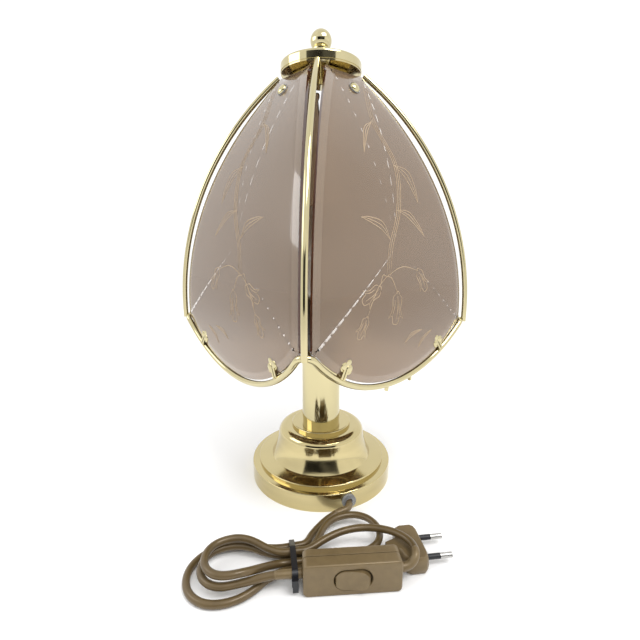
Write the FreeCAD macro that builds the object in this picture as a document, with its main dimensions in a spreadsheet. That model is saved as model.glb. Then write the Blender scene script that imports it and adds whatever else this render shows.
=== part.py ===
import FreeCAD, Part
import math
import os
import re
import Sketcher
from FreeCAD import Placement, Rotation, Vector

# Table lamp with a tulip-shaped shade of four bent glass panels on brass ribs, a brass
# column on a spun brass base, and a mains cord with an inline switch, tied in a hank.
# Millimetres, +Z up. The origin is the centre of the base's underside. -Y is the front.

SIZES = dict(
    # base, spun from sheet
    baseRadius=68.0, bandHeight=15.6, sheetWall=1.2, edgeRound=0.8, ledgeRadius=61.4,
    ledgeHeight=16.8, flangeHeight=20.2, footRun=7.0, domeFootHeight=21.6, domeRadius=41.6,
    domeHigh=43.2, domeSweep=48.0, shoulderRound=7.0, stepRadius=28.6,
    stepDrop=3.0, plateHeight=53.2,
    feltThick=1.0, coverThick=1.2, coverGap=0.4, ballastRadius=57.0, ballastHigh=10.0,
    ballastBore=15.0, ballastSlot=9.0,
    # column and the threaded stem that clamps it to the base
    columnRadius=18.3, columnWall=1.2, columnTop=122.0, collarHigh=5.0, collarInset=0.3,
    capThick=2.0, capLip=4.0, stemRadius=5.0, stemBore=3.6, stemFoot=40.0, stemReach=6.0,
    nutFlats=14.0, nutHigh=5.0, washerRadius=13.0, washerThick=1.6, fitGap=0.1,
    # lamp holder and bulb
    saddleLong=54.0, saddleWide=14.0, saddleThick=1.6, holderFoot=14.0, holderRadius=17.5,
    holderCapHigh=16.0, holderShellHigh=34.0, holderWall=2.0, sleeveRadius=14.4,
    sleeveHigh=24.0, insertHigh=6.0, bulbCapRadius=13.2, bulbCapHigh=25.0, bulbRadius=30.0,
    bulbNeck=13.6, bulbCentre=80.0, bulbWall=1.0, contactRadius=5.0, contactHigh=2.2,
    # harp
    wireRadius=2.0, harpFoot=23.0, harpWaist=42.0, harpNeck=15.0, harpShoulder=50.0, harpStraight=72.0, ferruleRadius=3.4, ferruleHigh=8.0,
    bossRadius=7.0, bossHigh=9.0, studRadius=3.0, threadGap=0.05, seatGap=0.2,
    # shade frame
    shadeTurn=-4.6, crownRadius=33.6, crownFoot=364.0, crownRim=7.0, crownRise=2.0, crownWall=1.0,
    crownRound=2.0, crownDome=250.0, spiderRadius=33.2, spiderThick=1.4, hubRadius=7.0, armWide=20.0, armLow=31.2,
    ribArc=250.0, ribReach=130.8, ribLevel=165.0, ribRadius=2.25, ribFoot=156.0, ribTop=1.2,
    ringRadius=2.4, ringMid=88.0, ringLow=118.0, ringLean=7.5, ringArc=115.0,
    ringTurn=84.0, lugRadius=1.6, lugLong=3.0,
    # glass panels
    glassArc=327.5, glassReach=92.5, glassThick=3.0, glassTop=358.0, glassTopHalf=18.6,
    glassHalf=85.2, glassSideArc=312.0, glassEdgeGap=3.4, glassRound=4.0, cornerHigh=163.0, cornerFoot=81.8, cornerLow=157.1, glassTopRound=4.0,
    screwAngle=33.1, screwHole=2.5, screwRadius=1.9, headRadius=4.2, headHigh=2.3,
    padRadius=4.8, padThick=0.8, tabThick=1.4, panelNutRadius=3.6, panelNutHigh=2.6, screwTail=0.9,
    clipAcross=60.0, leafRadius=3.1, leafSpread=2.9, leafThick=0.9, stalkWide=4.4, stalkLong=8.0,
    slitWide=0.7, clipGap=0.0, clipRecline=5.0, lugLeft=-6.0, lugRight=22.0,
    # finial
    ballRadius=8.8, ballHeight=15.2, finialFoot=8.4, finialWaist=4.6, finialCollar=7.3,
    finialHole=9.0,
    # cord, gland and tie
    cordRadius=2.7, glandAngle=20.4, glandHeight=8.7, glandFlange=6.2, glandNeck=4.5,
    glandProud=2.5, glandDeep=4.0, layer=2.75, layerStep=6.0, topLayer=15.9, tieLift=1.35,
    slotStep=3.4, tieX=-20.5, tieY=-122.5, waistTurn=8.0, leftTurn=14.0, rightTurn=24.0,
    leftOuter=24.0, leftInner=17.2, foldRadius=16.3, rightLobe=20.0, leftReach=50.0,
    rightReach=50.0, innerShort=3.0, lastHeight=12.0, leadRadius=2.4, tieWide=4.0, tieThick=1.2, tieSlack=0.2, tieEase=0.6, leadTurn=12.0, rearSlot=11.6, headSize=4.5, tailLong=9.0,
    # inline switch, lying on its long side with the rocker to the front
    switchX=20.8, switchY=-141.0, switchTurn=4.2, switchLong=66.7, switchHigh=24.0,
    switchDeep=16.0, switchWall=2.0, switchRound=3.5, seamDeep=9.0, slotLong=26.0, slotHigh=15.4,
    slotGap=0.6, rockerHalf=12.4, rockerBack=3.0, rockerFace=6.4, rockerDip=1.2, pivotRadius=1.5,
    pivotDeep=4.5, pivotGap=0.05, rockerSwing=12.0, switchScrewRadius=1.6, switchScrewAt=26.0,
    # plug
    plugX=75.0, plugY=-115.0, plugTurn=7.5, plugLong=19.0, plugWide=35.3, plugThick=13.7,
    plugTail=8.0, plugCorner=5.0, tailWide=9.0, pinApart=18.6, pinLong=19.0,
    pinRadius=2.0, sleeveLong=10.0, pinRoot=6.0,
)

doc = FreeCAD.newDocument("TulipLamp")
sheet = doc.addObject("Spreadsheet::Sheet", "dims")
for row, (name, size) in enumerate(SIZES.items(), start=1):
    sheet.set("A%d" % row, name)
    sheet.set("B%d" % row, str(size))
    sheet.setAlias("B%d" % row, name)
doc.recompute()
probe = doc.addObject("App::FeaturePython", "Probe")
probe.addProperty("App::PropertyFloat", "reading")
parts = []


def bound(text):
    """The text with every size name pointing at its cell."""
    return re.sub(r"[A-Za-z]\w*", lambda m: "dims." + m[0] if m[0] in SIZES else m[0], str(text))


def value(text):
    """The number that an expression of size names gives."""
    probe.setExpression("reading", bound(text))
    probe.recompute()
    return probe.reading


def bind(obj, **texts):
    """Bind properties to the sheet. A double underscore stands for a dot."""
    for prop, text in texts.items():
        obj.setExpression(prop.replace("__", "."), bound(text))
    return obj


def keep(obj, label, place=None):
    """Make an object one of the lamp's pieces."""
    if place is not None:
        obj.Placement = place
    obj.Label = label
    parts.append(obj)
    return obj


def turned(angle, base=Vector(0, 0, 0)):
    return Placement(base, Rotation(Vector(0, 0, 1), angle))


def draw(sketch, outline):
    """Closed outline of (x, y) or (x, y, radius, side) texts. The segment that leaves a
    vertex with a radius is an arc; side 1 bulges to its left, side -1 to its right."""
    spots = [Vector(value(v[0]), value(v[1]), 0) for v in outline]
    first = last = None
    for i, vertex in enumerate(outline):
        start, end = spots[i], spots[(i + 1) % len(spots)]
        if len(vertex) == 2:
            geo = sketch.addGeometry(Part.LineSegment(start, end), False)
            tail, head = 1, 2
        else:
            radius, side = value(vertex[2]), vertex[3]
            half = (end - start) * 0.5
            normal = Vector(-half.y, half.x, 0).normalize() * side
            sink = math.sqrt(max(radius ** 2 - half.Length ** 2, 0))
            middle = start + half + normal * (radius - sink)
            geo = sketch.addGeometry(Part.Arc(start, middle, end), False)
            near = sketch.getPoint(geo, 1).distanceToPoint(start) < 1e-6
            tail, head = (1, 2) if near else (2, 1)
            sketch.addConstraint(Sketcher.Constraint("Radius", geo, radius))
            sketch.setExpression("Constraints[%d]" % (sketch.ConstraintCount - 1), bound(vertex[2]))
        for axis, kind, text in ((-2, "DistanceX", vertex[0]), (-1, "DistanceY", vertex[1])):
            if text == "0":
                sketch.addConstraint(Sketcher.Constraint("PointOnObject", geo, tail, axis))
            else:
                at = start.x if kind == "DistanceX" else start.y
                sketch.addConstraint(Sketcher.Constraint(kind, -1, 1, geo, tail, at))
                sketch.setExpression("Constraints[%d]" % (sketch.ConstraintCount - 1), bound(text))
        if last is None:
            first = (geo, tail)
        else:
            sketch.addConstraint(Sketcher.Constraint("Coincident", *last, geo, tail))
        last = (geo, head)
    sketch.addConstraint(Sketcher.Constraint("Coincident", *last, *first))


def new_sketch(body, role, name, outline):
    sketch = body.newObject("Sketcher::SketchObject", name)
    plane = [f for f in body.Origin.OriginFeatures if f.Role == role][0]
    sketch.AttachmentSupport = [(plane, "")]
    sketch.MapMode = "FlatFace"
    draw(sketch, outline)
    return sketch


def spun(label, outline, base_z="0"):
    """A piece turned about Z from an outline of (radius, height)."""
    body = doc.addObject("PartDesign::Body", label)
    sketch = new_sketch(body, "XZ_Plane", label + "_outline", outline)
    turn = body.newObject("PartDesign::Revolution", label + "_turn")
    turn.Profile = sketch
    turn.ReferenceAxis = (sketch, ["V_Axis"])
    turn.Angle = 360
    bind(body, Placement__Base__z=base_z)
    return keep(body, label)


def cylinder(name, radius, height, **at):
    rod = doc.addObject("Part::Cylinder", name)
    return move(bind(rod, Radius=radius, Height=height), at)


def box(name, long, wide, high, **at):
    block = doc.addObject("Part::Box", name)
    return move(bind(block, Length=long, Width=wide, Height=high), at)


def move(obj, at):
    """Bind the coordinates that are given. The others stay free for a Placement."""
    return bind(obj, **{"Placement__Base__" + axis: text for axis, text in at.items()})


def cut(name, base, tool):
    result = doc.addObject("Part::Cut", name)
    result.Base, result.Tool = base, tool
    return result


def fuse(name, shapes):
    result = doc.addObject("Part::MultiFuse", name)
    result.Shapes = shapes
    return result


def ring(label, outer, inner, height, z):
    """A plain tube or washer about Z."""
    return cut(label, cylinder(label + "_outer", outer, height, z=z),
               cylinder(label + "_bore", inner, height, z=z))


def shape_piece(label, shape, place=None):
    piece = doc.addObject("Part::Feature", label)
    piece.Shape = shape
    return keep(piece, label, place)


# ---------------------------------------------------------------- base and column

def make_base():
    wall = "sheetWall"
    spun("base_shell", [
        ("stemRadius + fitGap", "plateHeight"), ("stepRadius - edgeRound", "plateHeight", "edgeRound", 1),
        ("stepRadius", "plateHeight - edgeRound"), ("stepRadius", "plateHeight - stepDrop"),
        ("domeRadius - shoulderRound", "domeHigh + shoulderRound", "shoulderRound", 1),
        ("domeRadius", "domeHigh", "domeSweep", -1),
        ("domeRadius + footRun", "domeFootHeight"), ("ledgeRadius - edgeRound", "flangeHeight", "edgeRound", 1),
        ("ledgeRadius", "flangeHeight - edgeRound"), ("ledgeRadius", "ledgeHeight"),
        ("baseRadius - edgeRound", "bandHeight + edgeRound", "edgeRound", 1),
        ("baseRadius", "bandHeight"), ("baseRadius", "0"),
        ("baseRadius - %s" % wall, "0"), ("baseRadius - %s" % wall, "bandHeight - %s" % wall),
        ("ledgeRadius - %s" % wall, "ledgeHeight - %s" % wall),
        ("ledgeRadius - %s" % wall, "flangeHeight - %s" % wall),
        ("domeRadius + footRun - %s" % wall, "domeFootHeight - %s" % wall, "domeSweep", 1),
        ("domeRadius - %s" % wall, "domeHigh"),
        ("domeRadius - shoulderRound", "plateHeight - stepDrop - %s" % wall),
        ("stepRadius - %s" % wall, "plateHeight - stepDrop - %s" % wall),
        ("stepRadius - %s" % wall, "plateHeight - %s" % wall),
        ("stemRadius + fitGap", "plateHeight - %s" % wall)])
    body = doc.getObject("base_shell")
    hole = new_sketch_circle(body, "gland_hole_outline", "glandNeck + fitGap", "glandHeight")
    pocket = body.newObject("PartDesign::Pocket", "gland_hole")
    pocket.Profile = hole
    pocket.Type = "ThroughAll"
    pocket.Reversed = True
    bind(body, Placement__Rotation__Angle="glandAngle")
    body.Placement = Placement(Vector(0, 0, 0), Rotation(Vector(0, 0, 1), value("glandAngle")))
    keep(cylinder("felt_pad", "baseRadius - sheetWall - coverGap", "feltThick"), "felt_pad")
    keep(cylinder("base_cover", "baseRadius - sheetWall - coverGap", "coverThick", z="feltThick"),
         "base_cover")
    lift = "feltThick + coverThick"
    disc = ring("ballast_disc", "ballastRadius", "ballastBore", "ballastHigh", lift)
    slot = box("ballast_slot", "ballastSlot", "ballastRadius", "ballastHigh", x="-ballastSlot / 2",
               y="-ballastRadius", z=lift)
    keep(cut("ballast", disc, slot), "base_weight", turned(value("glandAngle")))


def new_sketch_circle(body, name, radius, height):
    """A round hole's outline on the front plane, on the axis of the cord's gland."""
    sketch = body.newObject("Sketcher::SketchObject", name)
    plane = [f for f in body.Origin.OriginFeatures if f.Role == "XZ_Plane"][0]
    sketch.AttachmentSupport = [(plane, "")]
    sketch.MapMode = "FlatFace"
    geo = sketch.addGeometry(Part.Circle(Vector(0, value(height), 0), Vector(0, 0, 1), value(radius)), False)
    sketch.addConstraint(Sketcher.Constraint("PointOnObject", geo, 3, -2))
    sketch.addConstraint(Sketcher.Constraint("DistanceY", -1, 1, geo, 3, value(height)))
    sketch.setExpression("Constraints[1]", bound(height))
    sketch.addConstraint(Sketcher.Constraint("Radius", geo, value(radius)))
    sketch.setExpression("Constraints[2]", bound(radius))
    return sketch


def make_column():
    plate, top = "plateHeight", "columnTop"
    spun("column_collar", [
        ("stemRadius + fitGap", plate), ("columnRadius - collarInset", plate),
        ("columnRadius - collarInset", "plateHeight + collarHigh"),
        ("columnRadius - columnWall - fitGap", "plateHeight + collarHigh"),
        ("columnRadius - columnWall - fitGap", "plateHeight + collarHigh + capLip"),
        ("stemRadius + fitGap", "plateHeight + collarHigh + capLip")])
    keep(ring("column_shell", "columnRadius", "columnRadius - columnWall",
              "columnTop - plateHeight - collarHigh", "plateHeight + collarHigh"), "column_tube")
    spun("column_cap", [
        ("stemRadius + fitGap", "columnTop - capLip"), ("columnRadius - columnWall - fitGap", "columnTop - capLip"),
        ("columnRadius - columnWall - fitGap", top), ("columnRadius", top),
        ("columnRadius", "columnTop + capThick - edgeRound"),
        ("columnRadius - edgeRound", "columnTop + capThick"), ("stemRadius + fitGap", "columnTop + capThick")])
    keep(ring("stem", "stemRadius", "stemBore",
              "columnTop + capThick + saddleThick + stemReach - stemFoot", "stemFoot"), "stem_rod")
    under = "plateHeight - sheetWall"
    keep(ring("washer", "washerRadius", "stemRadius + fitGap", "washerThick", under + " - washerThick"),
         "stem_washer")
    nut = doc.addObject("Part::Prism", "nut_hexagon")
    bind(nut, Circumradius="nutFlats / 1.73205", Height="nutHigh",
         Placement__Base__z=under + " - washerThick - nutHigh")
    keep(cut("nut", nut, cylinder("nut_bore", "stemRadius", "nutHigh",
                                  z=under + " - washerThick - nutHigh")), "stem_nut")


def make_gland():
    """A bushing through the base's band, on the cord's own axis."""
    turn = turned(value("glandAngle"), Vector(0, 0, 0))
    flange = cylinder("gland_flange", "glandFlange", "glandProud")
    neck = cylinder("gland_stub", "glandNeck", "glandDeep", z="-glandDeep")
    bore = cylinder("gland_bore", "cordRadius", "glandProud + glandDeep + 1", z="-glandDeep - 0.5")
    body = cut("gland", fuse("gland_solid", [flange, neck]), bore)
    reach = Placement(Vector(0, -value("baseRadius"), value("glandHeight")),
                      Rotation(Vector(1, 0, 0), 90))
    keep(body, "cord_gland", turn.multiply(reach))


def make_holder():
    foot = "columnTop + capThick"
    strap = box("saddle_strap", "saddleLong", "saddleWide", "saddleThick", x="-saddleLong / 2",
                y="-saddleWide / 2", z=foot)
    keep(cut("saddle", strap, cylinder("saddle_bore", "stemRadius + fitGap", "saddleThick", z=foot)),
         "harp_saddle")
    base = foot + " + saddleThick"
    spun("lampholder_base", [
        ("stemRadius", "0"), ("holderFoot", "0"), ("holderRadius", "holderCapHigh - 4"),
        ("holderRadius", "holderCapHigh"), ("holderRadius - holderWall", "holderCapHigh"),
        ("holderRadius - holderWall", "holderCapHigh - 4"), ("stemRadius + 4", "stemReach"),
        ("stemRadius", "stemReach")], base)
    spun("lampholder_shell", [
        ("sleeveRadius", "holderCapHigh + holderShellHigh - holderWall"), ("sleeveRadius", "holderCapHigh + holderShellHigh"),
        ("holderRadius", "holderCapHigh + holderShellHigh"), ("holderRadius", "holderCapHigh"),
        ("holderRadius - holderWall", "holderCapHigh"),
        ("holderRadius - holderWall", "holderCapHigh + holderShellHigh - holderWall")], base)
    seat = base + " + holderCapHigh"
    insert = ring("insert", "holderRadius - holderWall - fitGap", "contactRadius - 2", "insertHigh", seat)
    keep(insert, "lampholder_insert")
    keep(ring("sleeve", "sleeveRadius", "bulbCapRadius + threadGap", "sleeveHigh", seat + " + insertHigh"),
         "lampholder_sleeve")
    keep(cylinder("contact_disc", "contactRadius", "contactHigh", z=seat + " + insertHigh"),
         "lampholder_contact")
    bulb = seat + " + insertHigh + contactHigh + seatGap"
    spun("bulb_cap", [
        ("0", "0"), ("contactRadius - 1", "0"), ("bulbCapRadius", "3"), ("bulbCapRadius", "bulbCapHigh"),
        ("0", "bulbCapHigh")], bulb)
    wall = "bulbWall"
    spun("bulb_glass", [
        ("0", "bulbCapHigh"), ("bulbNeck", "bulbCapHigh"),
        ("bulbRadius * 0.8", "bulbCentre - bulbRadius * 0.6", "bulbRadius", -1),
        ("bulbRadius", "bulbCentre", "bulbRadius", -1), ("0", "bulbCentre + bulbRadius"),
        ("0", "bulbCentre + bulbRadius - bulbWall", "bulbRadius - bulbWall", 1),
        ("bulbRadius - bulbWall", "bulbCentre", "bulbRadius - bulbWall", 1),
        ("(bulbRadius - bulbWall) * 0.8", "bulbCentre - (bulbRadius - bulbWall) * 0.6"),
        ("bulbNeck - bulbWall", "bulbCapHigh + bulbWall"), ("0", "bulbCapHigh + bulbWall")], bulb)


# ---------------------------------------------------------------- paths and tubes

def fillet_path(points, share=0.45):
    """Edges of straight runs joined by tangent arcs, and the tightest radius."""
    radii, trims = [], []
    for a, b, c in zip(points, points[1:], points[2:]):
        back, ahead = (a - b), (c - b)
        half = (math.pi - back.getAngle(ahead)) / 2
        trim = share * min(back.Length, ahead.Length)
        trims.append(trim)
        radii.append(trim / math.tan(half))
    edges, last = [], points[0]
    for i, b in enumerate(points[1:-1]):
        back, ahead = (points[i] - b).normalize(), (points[i + 2] - b).normalize()
        start, end = b + back * trims[i], b + ahead * trims[i]
        bisector = (back + ahead).normalize()
        half = back.getAngle(ahead) / 2
        middle = b + bisector * (radii[i] / math.sin(half) - radii[i])
        edges += [Part.LineSegment(last, start).toShape(), Part.Arc(start, middle, end).toShape()]
        last = end
    return edges + [Part.LineSegment(last, points[-1]).toShape()], min(radii)


def biarc(p0, t0, p1, t1):
    """Two arcs that leave p0 along t0 and reach p1 along t1."""
    v, t = p1 - p0, t0 + t1
    spread = 2 * (1 - t0.dot(t1))
    if spread < 1e-9:
        d = v.dot(v) / (4 * v.dot(t0))
    else:
        d = (math.sqrt(v.dot(t) ** 2 + spread * v.dot(v)) - v.dot(t)) / spread
    q0, q1 = p0 + t0 * d, p1 - t1 * d
    joint = (q0 + q1) * 0.5
    return [corner_arc(p0, q0, joint), corner_arc(joint, q1, p1)]


def corner_arc(start, corner, end):
    """The arc tangent to start-corner and corner-end, both of one length."""
    back, ahead = (start - corner), (end - corner)
    half = back.getAngle(ahead) / 2
    if half > math.pi / 2 - 1e-5:
        return Part.LineSegment(start, end).toShape()
    radius = back.Length * math.tan(half)
    middle = corner + (back + ahead).normalize() * (radius / math.sin(half) - radius)
    return Part.Arc(start, middle, end).toShape()


def half_turn(centre, arm, ahead):
    """A half circle that starts at centre + arm and bulges towards ahead."""
    radius = arm.Length
    tip, end = centre + ahead * radius, centre - arm
    return [corner_arc(centre + arm, centre + arm + ahead * radius, tip),
            corner_arc(tip, end + ahead * radius, end)]


def tube(label, edges, radius, closed=False):
    """A round bar along the edges."""
    spine = Part.Wire(edges)
    first = spine.Edges[0]
    start = first.firstVertex().Point
    along = first.tangentAt(first.FirstParameter)
    disc = Part.Wire(Part.makeCircle(radius, start, along))
    bar = spine.makePipeShell([disc], True, False)
    want = math.pi * radius ** 2 * spine.Length
    print("%s: %.1f mm long, volume over section times length %.4f, valid %s"
          % (label, spine.Length, bar.Volume / want, bar.isValid()))
    return bar


def self_gap(edges, radius, step=1.0):
    """The least gap between two stretches of one tube, measured on its centre line."""
    points = []
    for edge in edges:
        points += edge.discretize(Number=max(2, round(edge.Length / step) + 1))[:-1]
    near = round(8 * radius / step)
    gap, spot = min((p.distanceToPoint(q), tuple(p)) for i, p in enumerate(points) for q in points[i + near:])
    print("nearest at %.1f, %.1f, %.1f" % spot)
    return gap - 2 * radius


def points_of(edges, step=1.0):
    points = []
    for edge in edges:
        points += edge.discretize(Number=max(2, round(edge.Length / step) + 1))
    return points


def compare(lines, radius):
    """Print the least gap between every two stretches of cord, away from where they join."""
    names = list(lines)
    for i, a in enumerate(names):
        for b in names[i + 1:]:
            ends = [p for p in (lines[a][0], lines[a][-1]) for q in (lines[b][0], lines[b][-1])
                    if p.distanceToPoint(q) < 0.01]
            near = [p for p in lines[a] if all(p.distanceToPoint(e) > 4 * radius for e in ends)]
            gap, spot = min((p.distanceToPoint(q), tuple(p)) for p in near for q in lines[b])
            print("%s to %s: gap %.2f mm at %.0f, %.0f, %.0f" % (a, b, gap - 2 * radius, *spot))


def drawn(points):
    return [Vector(*p) for p in points]


# ---------------------------------------------------------------- harp, crown and frame

def make_harp():
    foot = value("columnTop + capThick + saddleThick")
    x0, x1 = value("harpFoot"), value("harpWaist")
    roof = value("crownFoot - spiderThick - fitGap - bossHigh / 2")
    low = foot + value("harpShoulder")
    side = [(x0, foot), (x0, foot + value("harpNeck")), (x1, low), (x1, low + value("harpStraight")),
            (bossSpan(), roof)]
    points = [Vector(x, 0, z) for x, z in side] + [Vector(-x, 0, z) for x, z in reversed(side)]
    edges, radius = fillet_path(points)
    print("harp_wire: tightest bend %.1f mm" % radius)
    wire = tube("harp_wire", edges, value("wireRadius"))
    shape_piece("harp_wire", wire)
    level = "columnTop + capThick + saddleThick"
    both = [ring("ferrule_%s" % side, "ferruleRadius", "wireRadius", "ferruleHigh", level)
            for side in ("left", "right")]
    for obj, sign in zip(both, ("-", "")):
        bind(obj, Placement__Base__x=sign + "harpFoot")
    keep(fuse("ferrules", both), "harp_ferrules")
    top = "crownFoot - spiderThick - fitGap"
    body = spun("harp_boss", [
        ("0", top + " - bossHigh"), ("bossRadius", top + " - bossHigh"), ("bossRadius", top),
        ("studRadius", top), ("studRadius", "crownFoot + crownRim + crownRise + finialHole - 1"),
        ("0", "crownFoot + crownRim + crownRise + finialHole - 1")])
    parts.remove(body)
    keep(cut("harp_boss_bored", body, doc.getObject("harp_wire")), "harp_stud")


def bossSpan():
    return value("bossRadius + wireRadius * 4")


def make_crown():
    outer, wall = "crownRadius", "crownWall"
    high = "crownFoot + crownRim"
    bore = "studRadius + threadGap"
    crown = [
        (bore, "crownFoot + crownRim + crownRise"), ("finialFoot + 1", "crownFoot + crownRim + crownRise"),
        ("crownRadius - crownRound", high), ("crownRadius", "crownFoot + crownRim - crownRound"),
        (outer, "crownFoot"), ("crownRadius - crownWall", "crownFoot"),
        ("crownRadius - crownWall", "crownFoot + crownRim - crownRound"),
        ("crownRadius - crownRound", "crownFoot + crownRim - crownWall"),
        ("finialFoot + 1", "crownFoot + crownRim + crownRise - crownWall"),
        (bore, "crownFoot + crownRim + crownRise - crownWall")]
    crown[1] += ("crownDome", 1)
    crown[2] += ("crownRound", 1)
    crown[6] += ("crownRound - crownWall", -1)
    crown[7] += ("crownDome", -1)
    spun("crown_cap", crown)
    keep(ring("spacer", "hubRadius", "studRadius + threadGap",
              "crownRim + crownRise - crownWall", "crownFoot"), "crown_spacer")
    turn = turned(value("shadeTurn"))
    disc = ring("spider_disc", "spiderRadius", bore, "spiderThick", "crownFoot - spiderThick")
    arms = [disc]
    for k in range(4):
        band = bent_band("arm_%d" % k, "glassArc - glassThick - padThick", "tabThick")
        limit = box("arm_limit_%d" % k, "60", "armWide", "60", x="0", y="-armWide / 2",
                    z="crownFoot - spiderThick - 60")
        low = box("arm_floor_%d" % k, "60", "armWide", "60", x="0", y="-armWide / 2",
                  z="ribLevel + (glassArc - glassThick) * sin(armLow * 1deg)")
        piece = doc.addObject("Part::MultiCommon", "arm_bar_%d" % k)
        piece.Shapes = [band, limit, low]
        hole = normal_pin("arm_hole_%d" % k, "screwHole", "-20", "20")
        arm = cut("arm_piece_%d" % k, piece, hole)
        arm.Placement = turned(45 + 90 * k)
        arms.append(arm)
    keep(fuse("spider", arms), "crown_spider", turn)


def bent_band(name, outer, thick):
    """The bent sheet of a panel's curve, facing +X. Its outer radius is given."""
    inner = "%s - %s" % (outer, thick)
    shell = cut(name + "_band", cylinder(name + "_outer", outer, "200"),
                cylinder(name + "_inner", inner, "200"))
    shell.Placement = Placement(Vector(value("glassReach - glassArc"), 100, value("ribLevel")),
                                Rotation(Vector(1, 0, 0), 90))
    return shell


def normal_pin(name, radius, low, high):
    """A pin along a panel's normal at the screw, from low to high off its outer face."""
    angle = math.radians(value("screwAngle"))
    normal = Vector(math.cos(angle), 0, math.sin(angle))
    centre = Vector(value("glassReach - glassArc"), 0, value("ribLevel"))
    pin = cylinder(name, radius, "(%s) - (%s)" % (high, low))
    pin.Placement = Placement(centre + normal * value("glassArc + (%s)" % low),
                              Rotation(Vector(0, 0, 1), normal))
    return pin


def make_panels():
    top, reach = "glassTop", "(ringArc - glassEdgeGap)"
    names = ("right_front", "right_rear", "left_rear", "left_front")
    for k, name in enumerate(names):
        blank = doc.addObject("PartDesign::Body", "glass_blank_%d" % k)
        r = "glassTopRound"
        outline = [
            ("-(glassTopHalf - glassTopRound)", top, r, -1),
            ("-glassTopHalf - glassTopRound * 0.68", "glassTop - glassTopRound", "glassSideArc", -1),
            ("-glassHalf + 0.04", "cornerHigh", "glassRound", -1),
            ("-cornerFoot", "cornerLow", reach, -1),
            ("cornerFoot", "cornerLow", "glassRound", -1),
            ("glassHalf - 0.04", "cornerHigh", "glassSideArc", -1),
            ("glassTopHalf + glassTopRound * 0.68", "glassTop - glassTopRound", r, -1),
            ("glassTopHalf - glassTopRound", top)]
        sketch = new_sketch(blank, "YZ_Plane", "glass_outline_%d" % k, outline)
        pad = blank.newObject("PartDesign::Pad", "glass_pad_%d" % k)
        pad.Profile = sketch
        bind(pad, Length="glassReach + 10")
        bent = doc.addObject("Part::MultiCommon", "glass_bent_%d" % k)
        bent.Shapes = [blank, bent_band("glass_%d" % k, "glassArc", "glassThick")]
        pane = cut("glass_pane_%d" % k, bent, normal_pin("glass_hole_%d" % k, "screwHole", "-10", "10"))
        keep(pane, "glass_" + name, turned(value("shadeTurn") - 45 + 90 * k))


def ring_edges():
    """The wavy hoop: four leaning arcs that meet in small arcs below the ribs."""
    reach, lean = value("ringArc"), math.radians(value("ringLean"))
    s = value("ringTurn")
    rise = reach - math.sqrt(reach ** 2 - s ** 2)
    slope = s / math.sqrt(reach ** 2 - s ** 2)
    out, up = math.sin(lean), math.cos(lean)

    def spot(k, along, high):
        flat = Vector(value("ringMid") + high * out, along, value("ringLow") + high * up)
        return turned(value("shadeTurn") - 45 + 90 * k).multVec(flat)

    gap = (value("ringMid") + rise * out - s) / (1 - slope * out)
    edges = []
    for k in range(4):
        edges.append(Part.Arc(spot(k, -s, rise), spot(k, 0, 0), spot(k, s, rise)).toShape())
        edges.append(corner_arc(spot(k, s, rise), spot(k, s + gap, rise + gap * slope),
                                spot(k + 1, -s, rise)))
    peak = max(e.BoundBox.ZMax for e in edges)
    print("ring: peak %.1f mm, small arc radius %.1f mm" % (peak, edges[1].Curve.Radius))
    return edges


def make_frame():
    hoop = tube("shade_ring", ring_edges(), value("ringRadius"))
    shape_piece("shade_ring", hoop)
    names = ("front", "right", "rear", "left")
    drop = math.degrees(math.asin(value("(ribLevel - ribFoot) / ribArc")))
    for k, name in enumerate(names):
        bar = doc.addObject("Part::Torus", "rib_bar_%d" % k)
        bind(bar, Radius1="ribArc", Radius2="ribRadius", Angle3="asin((ribLevel - ribFoot) / ribArc) "
             "+ asin((crownFoot - spiderThick - ribLevel - ribTop) / ribArc)")
        stand = Placement(Vector(value("ribReach - ribArc"), 0, value("ribLevel")), Rotation(Vector(1, 0, 0), 90))
        stand = stand.multiply(Placement(Vector(0, 0, 0), Rotation(Vector(0, 0, 1), -drop)))
        bar.Placement = turned(value("shadeTurn") - 90 + 90 * k).multiply(stand)
        seat = doc.addObject("Part::Feature", "rib_seat_%d" % k)
        seat.Shape = hoop
        keep(cut("rib_%d" % k, bar, seat), "rib_" + name)


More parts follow.
